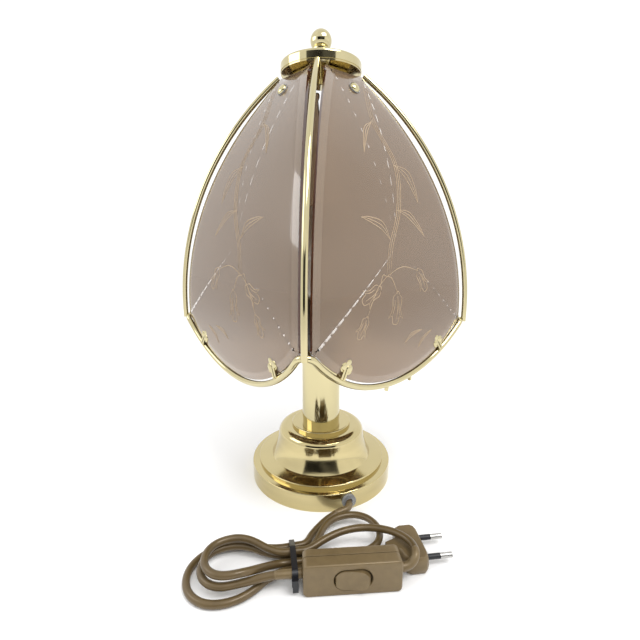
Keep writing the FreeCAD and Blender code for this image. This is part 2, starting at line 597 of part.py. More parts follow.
def make_screws():
    turn = [turned(value("shadeTurn") + 45 + 90 * k) for k in range(4)]
    inner = "-glassThick - padThick"
    back = inner + " - tabThick - seatGap / 6"
    heads, pads, nuts = [], [], []
    for k in range(4):
        dome = doc.addObject("Part::Sphere", "screw_dome_%d" % k)
        bind(dome, Radius="(headRadius ^ 2 + headHigh ^ 2) / (2 * headHigh)")
        angle = math.radians(value("screwAngle"))
        normal = Vector(math.cos(angle), 0, math.sin(angle))
        centre = Vector(value("glassReach - glassArc"), 0, value("ribLevel"))
        ball = value("glassArc + padThick + headHigh - (headRadius ^ 2 + headHigh ^ 2) / (2 * headHigh)")
        dome.Placement = Placement(centre + normal * ball, Rotation())
        cap = doc.addObject("Part::Common", "screw_head_%d" % k)
        cap.Base, cap.Tool = dome, normal_pin("screw_zone_%d" % k, "headRadius", "padThick", "10")
        tail = back + " - panelNutHigh - screwTail"
        screw = fuse("screw_%d" % k, [cap, normal_pin("screw_shank_%d" % k, "screwRadius", tail, "padThick")])
        screw.Placement = turn[k]
        heads.append(screw)
        for where, outer in (("out", "glassArc + padThick"), ("in", "glassArc - glassThick")):
            disc = doc.addObject("Part::Common", "pad_disc_%s_%d" % (where, k))
            disc.Base = normal_pin("pad_rim_%s_%d" % (where, k), "padRadius", "-10", "10")
            disc.Tool = bent_band("pad_%s_%d" % (where, k), outer, "padThick")
            pad = cut("pad_%s_%d_bored" % (where, k), disc,
                      normal_pin("pad_bore_%s_%d" % (where, k), "screwRadius", "-10", "10"))
            pad.Placement = turn[k]
            pads.append(pad)
        nut = cut("panel_nut_%d" % k, normal_pin("nut_disc_%d" % k, "panelNutRadius", back + " - panelNutHigh", back),
                  normal_pin("nut_hole_%d" % k, "screwRadius", back + " - panelNutHigh", back))
        nut.Placement = turn[k]
        nuts.append(nut)
    for label, pieces in (("panel_screws", heads), ("panel_pads", pads), ("panel_nuts", nuts)):
        keep(group(label + "_set", pieces), label)


def group(name, pieces):
    result = doc.addObject("Part::Compound", name)
    result.Links = pieces
    return result


def make_clips():
    """Leaf-shaped clips that grip the glass and stand on the hoop, two to a panel."""
    reach, across = value("ringArc"), value("clipAcross")
    lean, tilt = math.radians(value("ringLean")), math.asin(across / reach)
    rise = reach - math.sqrt(reach ** 2 - across ** 2)
    hoop = doc.getObject("shade_ring").Shape
    pane = doc.getObject("glass_pane_0").Shape.copy()
    pane.Placement = Placement()
    grow = value("glassThick") / 2 + value("clipGap")
    leaf, thick, wide = value("leafRadius"), value("leafThick"), value("stalkWide")
    long, spread, slit = value("stalkLong"), value("leafSpread"), value("slitWide")
    seat = Vector(value("ringMid") + rise * math.sin(lean), 0, value("ringLow") + rise * math.cos(lean))
    clips = []
    for k in range(4):
        for side in (-1, 1):
            inward = Rotation(Vector(1, 0, 0), math.degrees(tilt) * side)
            recline = Rotation(Vector(0, 1, 0), -value("clipRecline"))
            place = Placement(seat + Vector(0, across * side, 0), inward.multiply(recline))
            front = Part.makeBox(thick, wide, long, Vector(grow, -wide / 2, 1.2))
            for y, z in ((0, long + 2 * leaf), (-spread, long + leaf * 0.4), (spread, long + leaf * 0.4)):
                front = front.fuse(Part.makeCylinder(leaf, thick, Vector(grow, y, z), Vector(1, 0, 0)))
            front = front.cut(Part.makeBox(thick, slit, long, Vector(grow, -slit / 2, 2.6)))
            rear = Part.makeBox(thick, wide, long, Vector(-grow - thick, -wide / 2, 1.2))
            web = Part.makeBox(2 * grow, wide, 1.9, Vector(-grow, -wide / 2, 1.2))
            clip = front.fuse([rear, web]).removeSplitter()
            clip.Placement = place
            clip = clip.cut(pane)
            clip.Placement = turned(value("shadeTurn") - 45 + 90 * k).multiply(clip.Placement)
            clips.append(max(clip.cut(hoop).Solids, key=lambda s: s.Volume))
    shape_piece("ring_clips", Part.makeCompound(clips))


def make_lugs():
    """Two small lugs below the hoop of the right front panel, beside its butt joint."""
    hoop = doc.getObject("shade_ring").Shape
    reach, lean = value("ringArc"), math.radians(value("ringLean"))
    lugs = []
    for across in (value("lugLeft"), value("lugRight")):
        angle = math.asin(across / reach)
        rise = reach - math.sqrt(reach ** 2 - across ** 2)
        at = Vector(value("ringMid") + rise * math.sin(lean), across, value("ringLow") + rise * math.cos(lean))
        down = Vector(-math.sin(lean), math.sin(angle), -math.cos(angle))
        lug = Part.makeCylinder(value("lugRadius"), value("ringRadius + lugLong"), at, down)
        lug.Placement = turned(value("shadeTurn") - 45).multiply(lug.Placement)
        lugs.append(lug.cut(hoop))
    shape_piece("ring_lugs", Part.makeCompound(lugs))


def make_finial():
    foot = "crownFoot + crownRim + crownRise + fitGap / 2"
    bore = "studRadius + threadGap"
    spun("finial", [
        (bore, "0"), ("finialFoot", "0"), ("finialFoot", "2"), ("finialWaist + 1", "3.2"),
        ("finialWaist", "5.5"), ("finialCollar - 0.6", "7.6"), ("finialCollar", "8.2"),
        ("finialCollar", "9.2"), ("6.6", "ballHeight - sqrt(ballRadius ^ 2 - 43.56)", "ballRadius", -1), ("0", "ballHeight + ballRadius"), ("0", "finialHole"), (bore, "finialHole")],
         foot)


# ---------------------------------------------------------------- cord

def gland_axis(reach):
    """A point on the gland's axis, this far from the lamp's axis."""
    angle = math.radians(value("glandAngle"))
    return Vector(reach * math.sin(angle), -reach * math.cos(angle), value("glandHeight"))


def heading(angle):
    a = math.radians(angle)
    return Vector(math.cos(a), math.sin(a), 0), Vector(-math.sin(a), math.cos(a), 0)


def make_cord():
    r = value("cordRadius")
    tie = Vector(value("tieX"), value("tieY"), 0)
    slot, low = value("slotStep"), value("layer")
    lobe, step, lift = Vector(0, 0, low), Vector(0, 0, value("layerStep")), Vector(0, 0, value("tieLift"))
    u, v = heading(value("waistTurn"))
    lu, lv = heading(value("leftTurn"))
    ru, rv = heading(value("rightTurn"))
    left = tie - lu * value("leftReach") + lobe
    right = tie + ru * value("rightReach") + lobe + step
    base = tie + lobe + lift
    rear, back, first = base + v * value("rearSlot"), base + v * slot, base - v * 3 * slot
    inward, outward = base + step, base - v * slot
    slant = heading(value("leadTurn"))[0]
    start = rear + slant * 2 * r
    lead = drawn(LEAD)
    lead = [gland_axis(value("baseRadius - glandDeep")), gland_axis(78)] + lead + [start + slant * 6, start]
    edges, radius = fillet_path(lead)
    print("cord_lead: tightest bend %.1f mm" % radius)
    shape_piece("cord_lead", tube("cord_lead", edges, r))
    lines = {"cord_lead": points_of(edges)}

    outer, inner, wide = value("leftOuter"), value("leftInner"), value("rightLobe")
    short = value("innerShort")
    nook = left + step + lu * short
    end = Vector(value("switchX"), value("switchY"), value("switchHigh / 2"))
    su, sv = heading(value("switchTurn"))
    entry = end - su * value("switchLong / 2")
    edges = [Part.LineSegment(start, rear).toShape()]
    edges += biarc(rear, -slant, left + lv * outer, -lu)
    edges += half_turn(left, lv * outer, -lu)
    edges += biarc(left - lv * outer, lu, first, u)
    edges += biarc(first, u, right - rv * wide, ru)
    edges += half_turn(right, -rv * wide, ru)
    edges += biarc(right + rv * wide, -ru, back, -u)
    edges += biarc(back, -u, nook + lv * inner, -lu)
    edges += half_turn(nook, lv * inner, -lu)
    edges += biarc(nook - lv * inner, lu, entry - su * 4 * r, su)
    edges.append(Part.LineSegment(entry - su * 4 * r, entry).toShape())
    hank = tube("cord_hank", edges, r)
    print("cord_hank: least gap to itself %.2f mm" % self_gap(edges, r))
    shape_piece("cord_hank", hank)
    lines["cord_hank"] = points_of(edges)

    exit = end + su * value("switchLong / 2")
    loop = [exit, exit + su * 6.6] + drawn(LOOP) + [inward + u * 12, inward + u * 2 * r]
    edges, radius = fillet_path(loop)
    print("cord_loop: tightest bend %.1f mm" % radius)
    shape_piece("cord_loop", tube("cord_loop", edges, r))
    lines["cord_loop"] = points_of(edges)

    fold = value("foldRadius")
    top = Vector(left.x, left.y, value("topLayer")) + lu * (short + 2)
    edges = [Part.LineSegment(inward + u * 2 * r, inward).toShape()]
    edges += biarc(inward, -u, top + lv * fold, -lu)
    edges += half_turn(top, lv * fold, -lu)
    edges += biarc(top - lv * fold, lu, outward, u)
    edges.append(Part.LineSegment(outward, outward + u * 2 * r).toShape())
    shape_piece("cord_fold", tube("cord_fold", edges, r))
    lines["cord_fold"] = points_of(edges)

    pu, pv = heading(value("plugTurn"))
    plug = Vector(value("plugX"), value("plugY"), value("plugThick / 2"))
    tail = plug - pu * value("plugLong + plugTail")
    home = [outward + u * 2 * r, outward + u * 12] + drawn(HOME) + [tail - pu * 4.5, tail]
    edges, radius = fillet_path(home)
    print("cord_plug_lead: tightest bend %.1f mm" % radius)
    shape_piece("cord_plug_lead", tube("cord_plug_lead", edges, r))
    lines["cord_plug_lead"] = points_of(edges)
    compare(lines, r)
    make_tie(u, v, [rear, back, first, inward, outward], entry, su)


def make_tie(u, v, strands, entry, su):
    """The tie follows the outline of the strands where they pass its plane."""
    tie = Vector(value("tieX"), value("tieY"), 0)
    last = entry - su * ((entry - tie).dot(u) / su.dot(u))
    spots = [((s - tie).dot(v), s.z) for s in strands] + [((last - tie).dot(v), value("lastHeight"))]
    spots[0] = (spots[0][0] + value("tieEase"), spots[0][1])
    hull = convex(spots)
    bore = value("cordRadius + tieSlack")
    frame = Placement(tie - u * value("tieWide / 2"), Rotation(Vector(0, 0, 1), value("waistTurn")))
    faces = [offset_outline(hull, d) for d in (bore + value("tieThick"), bore)]
    band = faces[0].extrude(Vector(value("tieWide"), 0, 0)).cut(faces[1].extrude(Vector(value("tieWide"), 0, 0)))
    front = min(h[0] for h in hull) - bore - value("tieThick")
    size = value("headSize")
    head = Part.makeBox(size, 4, size, Vector(-0.5, front - 3.5, value("lastHeight") - size / 2 - 1))
    tail = Part.makeBox(value("tieWide"), 1, value("tailLong"),
                        Vector(0, front - 2.4, value("lastHeight") - value("tailLong")))
    solid = band.fuse([head.cut(faces[1].extrude(Vector(size + 2, 0, 0))), tail]).removeSplitter()
    solid.Placement = frame
    shape_piece("cable_tie", solid)


def convex(spots):
    """The convex hull, counter-clockwise."""
    spots = sorted(spots)

    def chain(points):
        out = []
        for p in points:
            while len(out) > 1 and ((out[-1][0] - out[-2][0]) * (p[1] - out[-2][1])
                                    - (out[-1][1] - out[-2][1]) * (p[0] - out[-2][0])) <= 0:
                out.pop()
            out.append(p)
        return out[:-1]
    return chain(spots) + chain(spots[::-1])


def offset_outline(hull, distance):
    """The hull grown by a distance with round corners, as a face in the YZ plane."""
    edges = []
    count = len(hull)
    normals = []
    for i, (a, b) in enumerate(zip(hull, hull[1:] + hull[:1])):
        along = Vector(0, b[0] - a[0], b[1] - a[1]).normalize()
        normals.append(Vector(0, along.z, -along.y))
    for i in range(count):
        a = Vector(0, *hull[i])
        b = Vector(0, *hull[(i + 1) % count])
        n, m = normals[i], normals[(i + 1) % count]
        edges.append(Part.LineSegment(a + n * distance, b + n * distance).toShape())
        edges.append(Part.Arc(b + n * distance, b + (n + m).normalize() * distance, b + m * distance).toShape())
    return Part.Face(Part.Wire(edges))


# ---------------------------------------------------------------- switch and plug

def rounded(half_long, half_high, r):
    """A rounded rectangle about the origin."""
    a, b = "(%s)" % half_long, "(%s)" % half_high
    return [("-%s + %s" % (a, r), b, None), ("-" + a, "%s - %s" % (b, r)),
            ("-" + a, "-%s + %s" % (b, r), None), ("-%s + %s" % (a, r), "-" + b),
            ("%s - %s" % (a, r), "-" + b, None), (a, "-%s + %s" % (b, r)),
            (a, "%s - %s" % (b, r), None), ("%s - %s" % (a, r), b)]


def prism(name, outline, depth, start="0", corner=None):
    """An outline in the XZ plane, carried from start towards +Y."""
    body = doc.addObject("PartDesign::Body", name)
    spots = [(v[0], v[1], corner, -1) if len(v) == 3 else v for v in outline]
    sketch = new_sketch(body, "XZ_Plane", name + "_outline", spots)
    pad = body.newObject("PartDesign::Pad", name + "_pad")
    pad.Profile = sketch
    pad.Reversed = True
    bind(pad, Length=depth)
    bind(body, Placement__Base__y=start)
    return body


def make_switch():
    place = Placement(Vector(value("switchX"), value("switchY"), value("switchHigh / 2")),
                      Rotation(Vector(0, 0, 1), value("switchTurn")))
    half, high, r = "switchLong / 2", "switchHigh / 2", "switchRound"
    face, wall = "-switchDeep / 2", "switchWall"
    outline = rounded(half, high, r)
    hollow = rounded("switchLong / 2 - switchWall", "switchHigh / 2 - switchWall", "(switchRound - switchWall)")
    slot = rounded("slotLong / 2", "slotHigh / 2", "(slotHigh / 2 - 0.01)")
    front = prism("switch_front_block", outline, "seamDeep", face, r)
    room = prism("switch_front_room", hollow, "seamDeep", face + " + switchWall", "(switchRound - switchWall)")
    hole = prism("switch_slot", slot, "switchWall", face, "(slotHigh / 2 - 0.01)")
    cover = cut("switch_front", cut("switch_front_shell", front, room), hole)
    posts = [cylinder("switch_post_%s" % s, "switchScrewRadius + 1.4", "seamDeep - switchWall")
             for s in ("left", "right")]
    rear_block = prism("switch_rear_block", outline, "switchDeep - seamDeep", face + " + seamDeep", r)
    rear_room = prism("switch_rear_room", hollow, "switchDeep - seamDeep - switchWall", face + " + seamDeep",
                      "(switchRound - switchWall)")
    rear_posts = [cylinder("switch_boss_%s" % s, "switchScrewRadius + 1.4", "switchDeep - seamDeep - switchWall")
                  for s in ("left", "right")]
    screws = []
    level = value("-switchDeep / 2")
    for sign, post, boss in zip((-1, 1), posts, rear_posts):
        x = sign * value("switchScrewAt")
        back = Rotation(Vector(1, 0, 0), -90)
        post.Placement = Placement(Vector(x, level + value("switchWall"), 0), back)
        boss.Placement = Placement(Vector(x, level + value("seamDeep"), 0), back)
        screw = cylinder("switch_screw_%d" % (sign + 1), "switchScrewRadius", "switchDeep - switchWall - 2")
        screw.Placement = Placement(Vector(x, level + value("switchWall + 2"), 0), back)
        screws.append(screw)
    both = group("switch_screw_tools", screws)
    ears = []
    for s, z in (("low", "-switchHigh / 2 + switchWall"), ("high", "slotHigh / 2")):
        ear = box("rocker_ear_" + s, "7", "7 - switchWall", "switchHigh / 2 - switchWall - slotHigh / 2",
                  x="-3.5", y=face + " + switchWall", z=z)
        ears.append(ear)
    shell = fuse("switch_front_full", [cover] + posts + ears)
    bores = cylinder("rocker_bore", "pivotRadius + pivotGap", "switchHigh - 2 * switchWall",
                     y=face + " + pivotDeep", z="-switchHigh / 2 + switchWall")
    shell = cut("switch_front_bored", cut("switch_front_drilled", shell, both), bores)
    keep(shell, "switch_front_cover", place)
    keep(cut("switch_rear_drilled", fuse("switch_rear_full", [cut("switch_rear_shell", rear_block, rear_room)]
                                         + rear_posts), both), "switch_rear_cover", place)
    keep(group("switch_screw_set", screws), "switch_screws", place)
    pivot = value("pivotDeep") + level
    swing = value("rockerSwing / 2")
    disc = cylinder("rocker_disc", "rockerHalf", "slotHigh - 2 * slotGap", y=face + " + pivotDeep",
                    z="-slotHigh / 2 + slotGap")
    wedge = rocker_wedge()
    wedge.Placement = Placement(Vector(0, pivot, 0), Rotation(Vector(0, 0, 1), -swing))
    stadium = prism("rocker_stadium", rounded("rockerHalf", "slotHigh / 2 - slotGap",
                                              "(slotHigh / 2 - slotGap - 0.01)"), "20", face + " - 10",
                    "(slotHigh / 2 - slotGap - 0.01)")
    other = prism("rocker_stadium_far", rounded("rockerHalf", "slotHigh / 2 - slotGap",
                                                "(slotHigh / 2 - slotGap - 0.01)"), "20", face + " - 10",
                  "(slotHigh / 2 - slotGap - 0.01)")
    far = group("rocker_far_limit", [other])
    far.Placement = turned(-2 * swing, Vector(0, pivot, 0)).multiply(Placement(Vector(0, -pivot, 0), Rotation()))
    paddle = doc.addObject("Part::MultiCommon", "rocker_paddle")
    paddle.Shapes = [disc, wedge, stadium, far]
    axle = cylinder("rocker_axle", "pivotRadius", "switchHigh - 2 * switchWall - 1", y=face + " + pivotDeep",
                    z="-switchHigh / 2 + switchWall + 0.5")
    keep(fuse("rocker", [paddle, axle]), "switch_rocker", place)


def rocker_wedge():
    """The rocker seen along its axle: a flat back, two sloping faces and a shallow middle."""
    body = doc.addObject("PartDesign::Body", "rocker_wedge")
    half, back, face, dip = "(rockerHalf + 2)", "rockerBack", "rockerFace", "rockerDip"
    outline = [("-" + half, "0"), ("0", back), (half, "0"), (half, "-" + face), ("0", "-%s + %s" % (face, dip)),
               ("-" + half, "-" + face)]
    sketch = new_sketch(body, "XY_Plane", "rocker_wedge_outline", outline)
    pad = body.newObject("PartDesign::Pad", "rocker_wedge_pad")
    pad.Profile = sketch
    pad.Midplane = True
    bind(pad, Length="slotHigh")
    return body


def make_plug():
    place = Placement(Vector(value("plugX"), value("plugY"), value("plugThick / 2")),
                      Rotation(Vector(0, 0, 1), value("plugTurn")))
    body = doc.addObject("PartDesign::Body", "plug_slab")
    half, long, tail = "plugWide / 2", "plugLong", "tailWide / 2"
    outline = [("0", "-(plugWide / 2 - plugCorner)"), ("0", "plugWide / 2 - plugCorner"),
               ("-plugCorner * 0.6", half), ("-plugLong + plugCorner", half),
               ("-plugLong", tail + " + 3"), ("-plugLong - plugTail", tail), ("-plugLong - plugTail", "-" + tail),
               ("-plugLong", "-%s - 3" % tail), ("-plugLong + plugCorner", "-plugWide / 2"),
               ("-plugCorner * 0.6", "-plugWide / 2")]
    sketch = new_sketch(body, "XY_Plane", "plug_outline", outline)
    pad = body.newObject("PartDesign::Pad", "plug_pad")
    pad.Profile = sketch
    pad.Midplane = True
    bind(pad, Length="plugThick")
    side = doc.addObject("PartDesign::Body", "plug_side")
    view = [("0", "plugThick / 2"), ("-plugLong", "plugThick / 2"), ("-plugLong - plugTail", tail),
            ("-plugLong - plugTail", "-" + tail), ("-plugLong", "-plugThick / 2"), ("0", "-plugThick / 2")]
    sketch = new_sketch(side, "XZ_Plane", "plug_side_outline", view)
    pad = side.newObject("PartDesign::Pad", "plug_side_pad")
    pad.Profile = sketch
    pad.Midplane = True
    bind(pad, Length="plugWide + 4")
    common = doc.addObject("Part::Common", "plug_form")
    common.Base, common.Tool = body, side
    pins, sleeves, holes = [], [], []
    for k, sign in enumerate((-1, 1)):
        y = "%d * pinApart / 2" % sign
        whole = []
        for name, radius, start, end in (("pin_%d", "pinRadius - 0.5", "-pinRoot", "pinLong"),
                                         ("pin_tip_%d", "pinRadius", "sleeveLong", "pinLong"),
                                         ("sleeve_%d", "pinRadius", "0", "sleeveLong"),
                                         ("sleeve_bore_%d", "pinRadius - 0.5", "0", "sleeveLong")):
            rod = cylinder(name % k, radius, "%s - (%s)" % (end, start))
            rod.Placement = Placement(Vector(value(start), value(y), 0), Rotation(Vector(0, 1, 0), 90))
            whole.append(rod)
        pins.append(fuse("plug_pin_%d" % k, whole[:2]))
        sleeves.append(cut("plug_sleeve_%d" % k, whole[2], whole[3]))
        holes.append(whole[0])
    keep(cut("plug", common, group("plug_pin_roots", holes)), "plug_body", place)
    keep(group("plug_pin_pair", pins), "plug_pins", place)
    keep(group("plug_sleeve_pair", sleeves), "pin_sleeves", place)


def make_inner_lead():
    """The lead inside the lamp, from the gland to the lamp holder through the stem."""
    r = value("leadRadius")
    start = gland_axis(value("baseRadius - glandDeep"))
    foot = value("columnTop + capThick + saddleThick + stemReach")
    inner = gland_axis(value("baseRadius - glandDeep - 14"))
    bend = gland_axis(8)
    path = [start, inner, bend + Vector(0, 0, 8), Vector(0, 0, value("stemFoot - 8")), Vector(0, 0, foot + 4)]
    edges, radius = fillet_path(path)
    print("inner_lead: tightest bend %.1f mm" % radius)
    shape_piece("inner_lead", tube("inner_lead", edges, r))


LEAD = [(9.5, -78.5, 6.5), (-6.8, -97.0, 4.2)]
LOOP = [(66.8, -134.4, 19.2), (64.5, -120.0, 18.0), (52.0, -109.5, 17.2), (34.5, -104.5, 15.6),
        (17.4, -107.0, 14.9), (3.0, -113.5, 13.0)]
HOME = [(12.0, -120.6, 3.0), (30.0, -120.8, 2.75), (39.5, -121.2, 2.9)]

make_base()
make_column()
make_gland()
make_holder()
make_inner_lead()
make_harp()
make_crown()
make_panels()
make_frame()
make_screws()
doc.recompute()
make_clips()
make_lugs()
make_finial()
make_cord()
make_switch()
make_plug()
doc.recompute()

faults = [o.Name for o in doc.Objects if "Invalid" in o.State or "Error" in o.State]
faults += [p.Label for p in parts if p.Shape.isNull() or not p.Shape.isValid()]
print("faults:", faults)
os.makedirs("parts", exist_ok=True)
for old in os.listdir("parts"):
    os.remove(os.path.join("parts", old))
for piece in parts:
    print("%-20s %9.1f mm3, %d solids" % (piece.Label, piece.Shape.Volume, len(piece.Shape.Solids)))
    piece.Shape.exportStep("parts/%s.step" % piece.Label)
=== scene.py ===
import math
import bpy
import bmesh
from mathutils import Matrix, Vector


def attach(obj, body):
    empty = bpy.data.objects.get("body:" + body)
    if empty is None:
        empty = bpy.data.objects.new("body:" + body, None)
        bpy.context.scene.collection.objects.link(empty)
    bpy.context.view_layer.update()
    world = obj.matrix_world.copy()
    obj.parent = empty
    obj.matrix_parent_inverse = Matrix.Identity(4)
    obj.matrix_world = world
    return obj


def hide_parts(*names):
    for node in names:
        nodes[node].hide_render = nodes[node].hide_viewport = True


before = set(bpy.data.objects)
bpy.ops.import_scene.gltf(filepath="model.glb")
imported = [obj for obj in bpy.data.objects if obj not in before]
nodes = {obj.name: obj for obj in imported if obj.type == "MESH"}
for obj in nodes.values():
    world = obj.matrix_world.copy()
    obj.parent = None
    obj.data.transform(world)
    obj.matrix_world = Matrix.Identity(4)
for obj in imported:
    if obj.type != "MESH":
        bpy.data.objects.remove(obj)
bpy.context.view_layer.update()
scene = bpy.context.scene

# Table lamp with a tulip shade of four bent glass panels. The pieces' sizes are in
# millimetres, which inMetres() brings to the frame. The view's and the light's
# distances and the node groups' sizes are in metres.

sharp = {"glass": 12, "scattered": 40, "housing": 38}  # edges turning more degrees than this stay sharp


def inMetres(point):
    return Vector(point) * 0.001


def addMesh(name, verts, faces, smooth=True):
    mesh = bpy.data.meshes.new(name)
    mesh.from_pydata([tuple(v) for v in verts], [], faces)
    mesh.validate()
    mesh.update()
    for polygon in mesh.polygons:
        polygon.use_smooth = smooth
    obj = bpy.data.objects.new(name, mesh)
    scene.collection.objects.link(obj)
    return obj


def closeUp(obj):  # merge doubles, then turn every face outwards
    work = bmesh.new()
    work.from_mesh(obj.data)
    bmesh.ops.remove_doubles(work, verts=work.verts, dist=1e-6)
    bmesh.ops.recalc_face_normals(work, faces=work.faces)
    work.to_mesh(obj.data)
    work.free()
    return obj


def tubeFaces(rows, count):  # quads between rows of points, and a cap at each end
    faces = [(i * count + j, i * count + (j + 1) % count,
              (i + 1) * count + (j + 1) % count, (i + 1) * count + j)
             for i in range(rows - 1) for j in range(count)]
    return faces + [tuple(range(count)), tuple(range((rows - 1) * count, rows * count))]


def dress(obj, material, body, slot, *replaced):
    obj.data.materials.clear()
    obj.data.materials.append(material)
    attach(obj, body)
    if replaced:
        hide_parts(*replaced)
    return obj


view = {"distance": 0.3706, "height": 0.236, "pitch": 12.4, "lens": 22.61, "sensor": 36, "shiftX": -0.0016,
        "near": 0.01}

cameraData = bpy.data.cameras.new("photoCamera")
camera = bpy.data.objects.new("photoCamera", cameraData)
scene.collection.objects.link(camera)
camera.location = (0, -view["distance"], view["height"])
camera.rotation_euler = (math.radians(90 - view["pitch"]), 0, 0)
cameraData.lens = view["lens"]
cameraData.sensor_width = view["sensor"]
cameraData.sensor_fit = "HORIZONTAL"
cameraData.shift_x = view["shiftX"]
cameraData.clip_start = view["near"]
scene.camera = camera
scene.view_settings.view_transform = "Standard"

light = {"sky": 1.12, "opening": 0.05, "openingWide": 0.62, "openingLow": -0.30, "openingHigh": 0.42,
         "softEdge": 0.03, "patchScale": 1.6, "patchDepth": 0.5, "patchBack": 0.15, "darkest": 0.02,
         "boxSize": 0.5, "boxShape": 0.7, "aim": (0, 0, 0.2), "keyPower": 5.0, "sidePower": 1.5,
         "keyPlace": (0.35, -0.45, 0.95), "sidePlace": (-0.75, -0.15, 0.6)}

floor = addMesh("floor", [(-6, -6, 0), (6, -6, 0), (6, 6, 0), (-6, 6, 0)], [(0, 1, 2, 3)], smooth=False)


def newMaterial(name):
    material = bpy.data.materials.new(name)
    material.use_nodes = True
    tree = material.node_tree
    return material, tree.nodes, tree.links, tree.nodes["Principled BSDF"]


def addNode(tree, kind, **settings):
    node = tree.new(kind)
    for key, content in settings.items():
        setattr(node, key, content)
    return node


def feed(links, node, items):  # a number sets its input, a socket is linked to it
    for socket, item in zip(node.inputs, items):
        if isinstance(item, (int, float)):
            socket.default_value = item
        elif item is not None:
            links.new(item, socket)
    return node.outputs[0]


def colour(r, g, b):  # 0-255 display values to a linear colour
    def straighten(c):
        c /= 255
        return c / 12.92 if c <= 0.04045 else ((c + 0.055) / 1.055) ** 2.4
    return (straighten(r), straighten(g), straighten(b), 1)


floorPaint, *_, floorShader = newMaterial("whitePaper")
floorShader.inputs["Base Color"].default_value = (0.97, 0.97, 0.97, 1)
floorShader.inputs["Roughness"].default_value = 0.9
floorShader.inputs["Specular IOR Level"].default_value = 0.1
floor.data.materials.append(floorPaint)

world = bpy.data.worlds.new("lightTent")
scene.world = world
world.use_nodes = True
skyNodes, skyLinks = world.node_tree.nodes, world.node_tree.links
skyNodes.clear()


def skyMath(operation, a, b=None, clamp=False):
    return feed(skyLinks, addNode(skyNodes, "ShaderNodeMath", operation=operation, use_clamp=clamp), (a, b))


# a white tent with a dark opening towards the front, which polished brass mirrors
direction = addNode(skyNodes, "ShaderNodeTexCoord").outputs["Generated"]
axes = addNode(skyNodes, "ShaderNodeSeparateXYZ")
skyLinks.new(direction, axes.inputs[0])
x, y, z = axes.outputs
sideways = skyMath("ABSOLUTE", x)


def within(value, low, high):
    rising = skyMath("DIVIDE", skyMath("SUBTRACT", value, low), light["softEdge"], clamp=True)
    falling = skyMath("DIVIDE", skyMath("SUBTRACT", high, value), light["softEdge"], clamp=True)
    return skyMath("MULTIPLY", rising, falling)


opening = skyMath("MULTIPLY", within(sideways, -1, light["openingWide"]),
                  within(z, light["openingLow"], light["openingHigh"]))
opening = skyMath("MULTIPLY", opening, skyMath("LESS_THAN", y, 0))
shade = skyMath("MULTIPLY", opening, light["sky"] - light["opening"])
fabric = addNode(skyNodes, "ShaderNodeTexNoise")
fabric.inputs["Scale"].default_value = light["patchScale"]
fabric.inputs["Detail"].default_value = 1.0
skyLinks.new(direction, fabric.inputs["Vector"])
patches = skyMath("MULTIPLY", skyMath("SUBTRACT", fabric.outputs[0], 0.5), light["patchDepth"])
patches = skyMath("MULTIPLY", patches, skyMath("LESS_THAN", y, light["patchBack"]))
strength = skyMath("ADD", skyMath("SUBTRACT", light["sky"], shade), patches)
strength = skyMath("MAXIMUM", strength, light["darkest"])
background = addNode(skyNodes, "ShaderNodeBackground")
background.inputs["Color"].default_value = (1, 1, 1, 1)
skyLinks.new(strength, background.inputs["Strength"])
skyLinks.new(background.outputs[0], addNode(skyNodes, "ShaderNodeOutputWorld").inputs[0])


def softBox(name, place, power):
    data = bpy.data.lights.new(name, "AREA")
    data.shape = "RECTANGLE"
    data.size, data.size_y = light["boxSize"], light["boxSize"] * light["boxShape"]
    data.energy = power
    obj = bpy.data.objects.new(name, data)
    scene.collection.objects.link(obj)
    obj.location = place
    obj.rotation_euler = (Vector(light["aim"]) - Vector(place)).to_track_quat("-Z", "Y").to_euler()
    return obj


softBox("keyBox", light["keyPlace"], light["keyPower"])
softBox("sideBox", light["sidePlace"], light["sidePower"])
print("stage: camera, floor and light tent")

# The cord leaves the base, is folded into a hank under one tie, passes the switch, makes
# a last loop into the hank and ends in the plug.
cordSizes = {"radius": 2.7, "glandAngle": 20.4, "glandHeight": 8.7,
             "inside": 64, "glandFace": 70.5, "outside": 78,
             "lead": [(9.5, -78.5, 6.5), (-6.8, -97.0, 4.2)],
             "tie": (-20.5, -122.5), "waistTurn": 8, "leftTurn": 14, "rightTurn": 24, "leadTurn": 12,
             "layer": 2.75, "layerStep": 6.0, "topLayer": 15.9, "tieLift": 1.35, "rearSlot": 11.6,
             "slotStep": 3.4, "leftReach": 50, "rightReach": 50, "innerShort": 3, "leftOuter": 24,
             "leftInner": 17.2, "rightLobe": 20, "foldRadius": 16.3, "topShort": 5,
             "leadPass": 6, "tiePass": 12, "exitRun": 6.6, "tailRun": 4.5, "curveSteps": 10, "roundSteps": 5,
             "loop": [(66.8, -134.4, 19.2), (64.5, -120.0, 18.0), (52.0, -109.5, 17.2),
                      (34.5, -104.5, 15.6), (17.4, -107.0, 14.9), (3.0, -113.5, 13.0)],
             "home": [(12.0, -120.6, 3.0), (30.0, -120.8, 2.75), (39.5, -121.2, 2.9)]}
switchSizes = {"centre": (20.8, -141, 12), "turn": 4.2, "long": 66.7, "high": 24, "deep": 16,
               "corner": 3.5, "edge": 1.3, "edgeSteps": 4, "seam": 1.0, "seamGap": 0.5, "seamIn": 1.6,
               "seamLip": 0.3, "seamRound": 0.25, "slotLong": 26, "slotHigh": 15.4, "slotFlare": 0.5,
               "slotLip": 0.4, "slotDeep": 4.2}
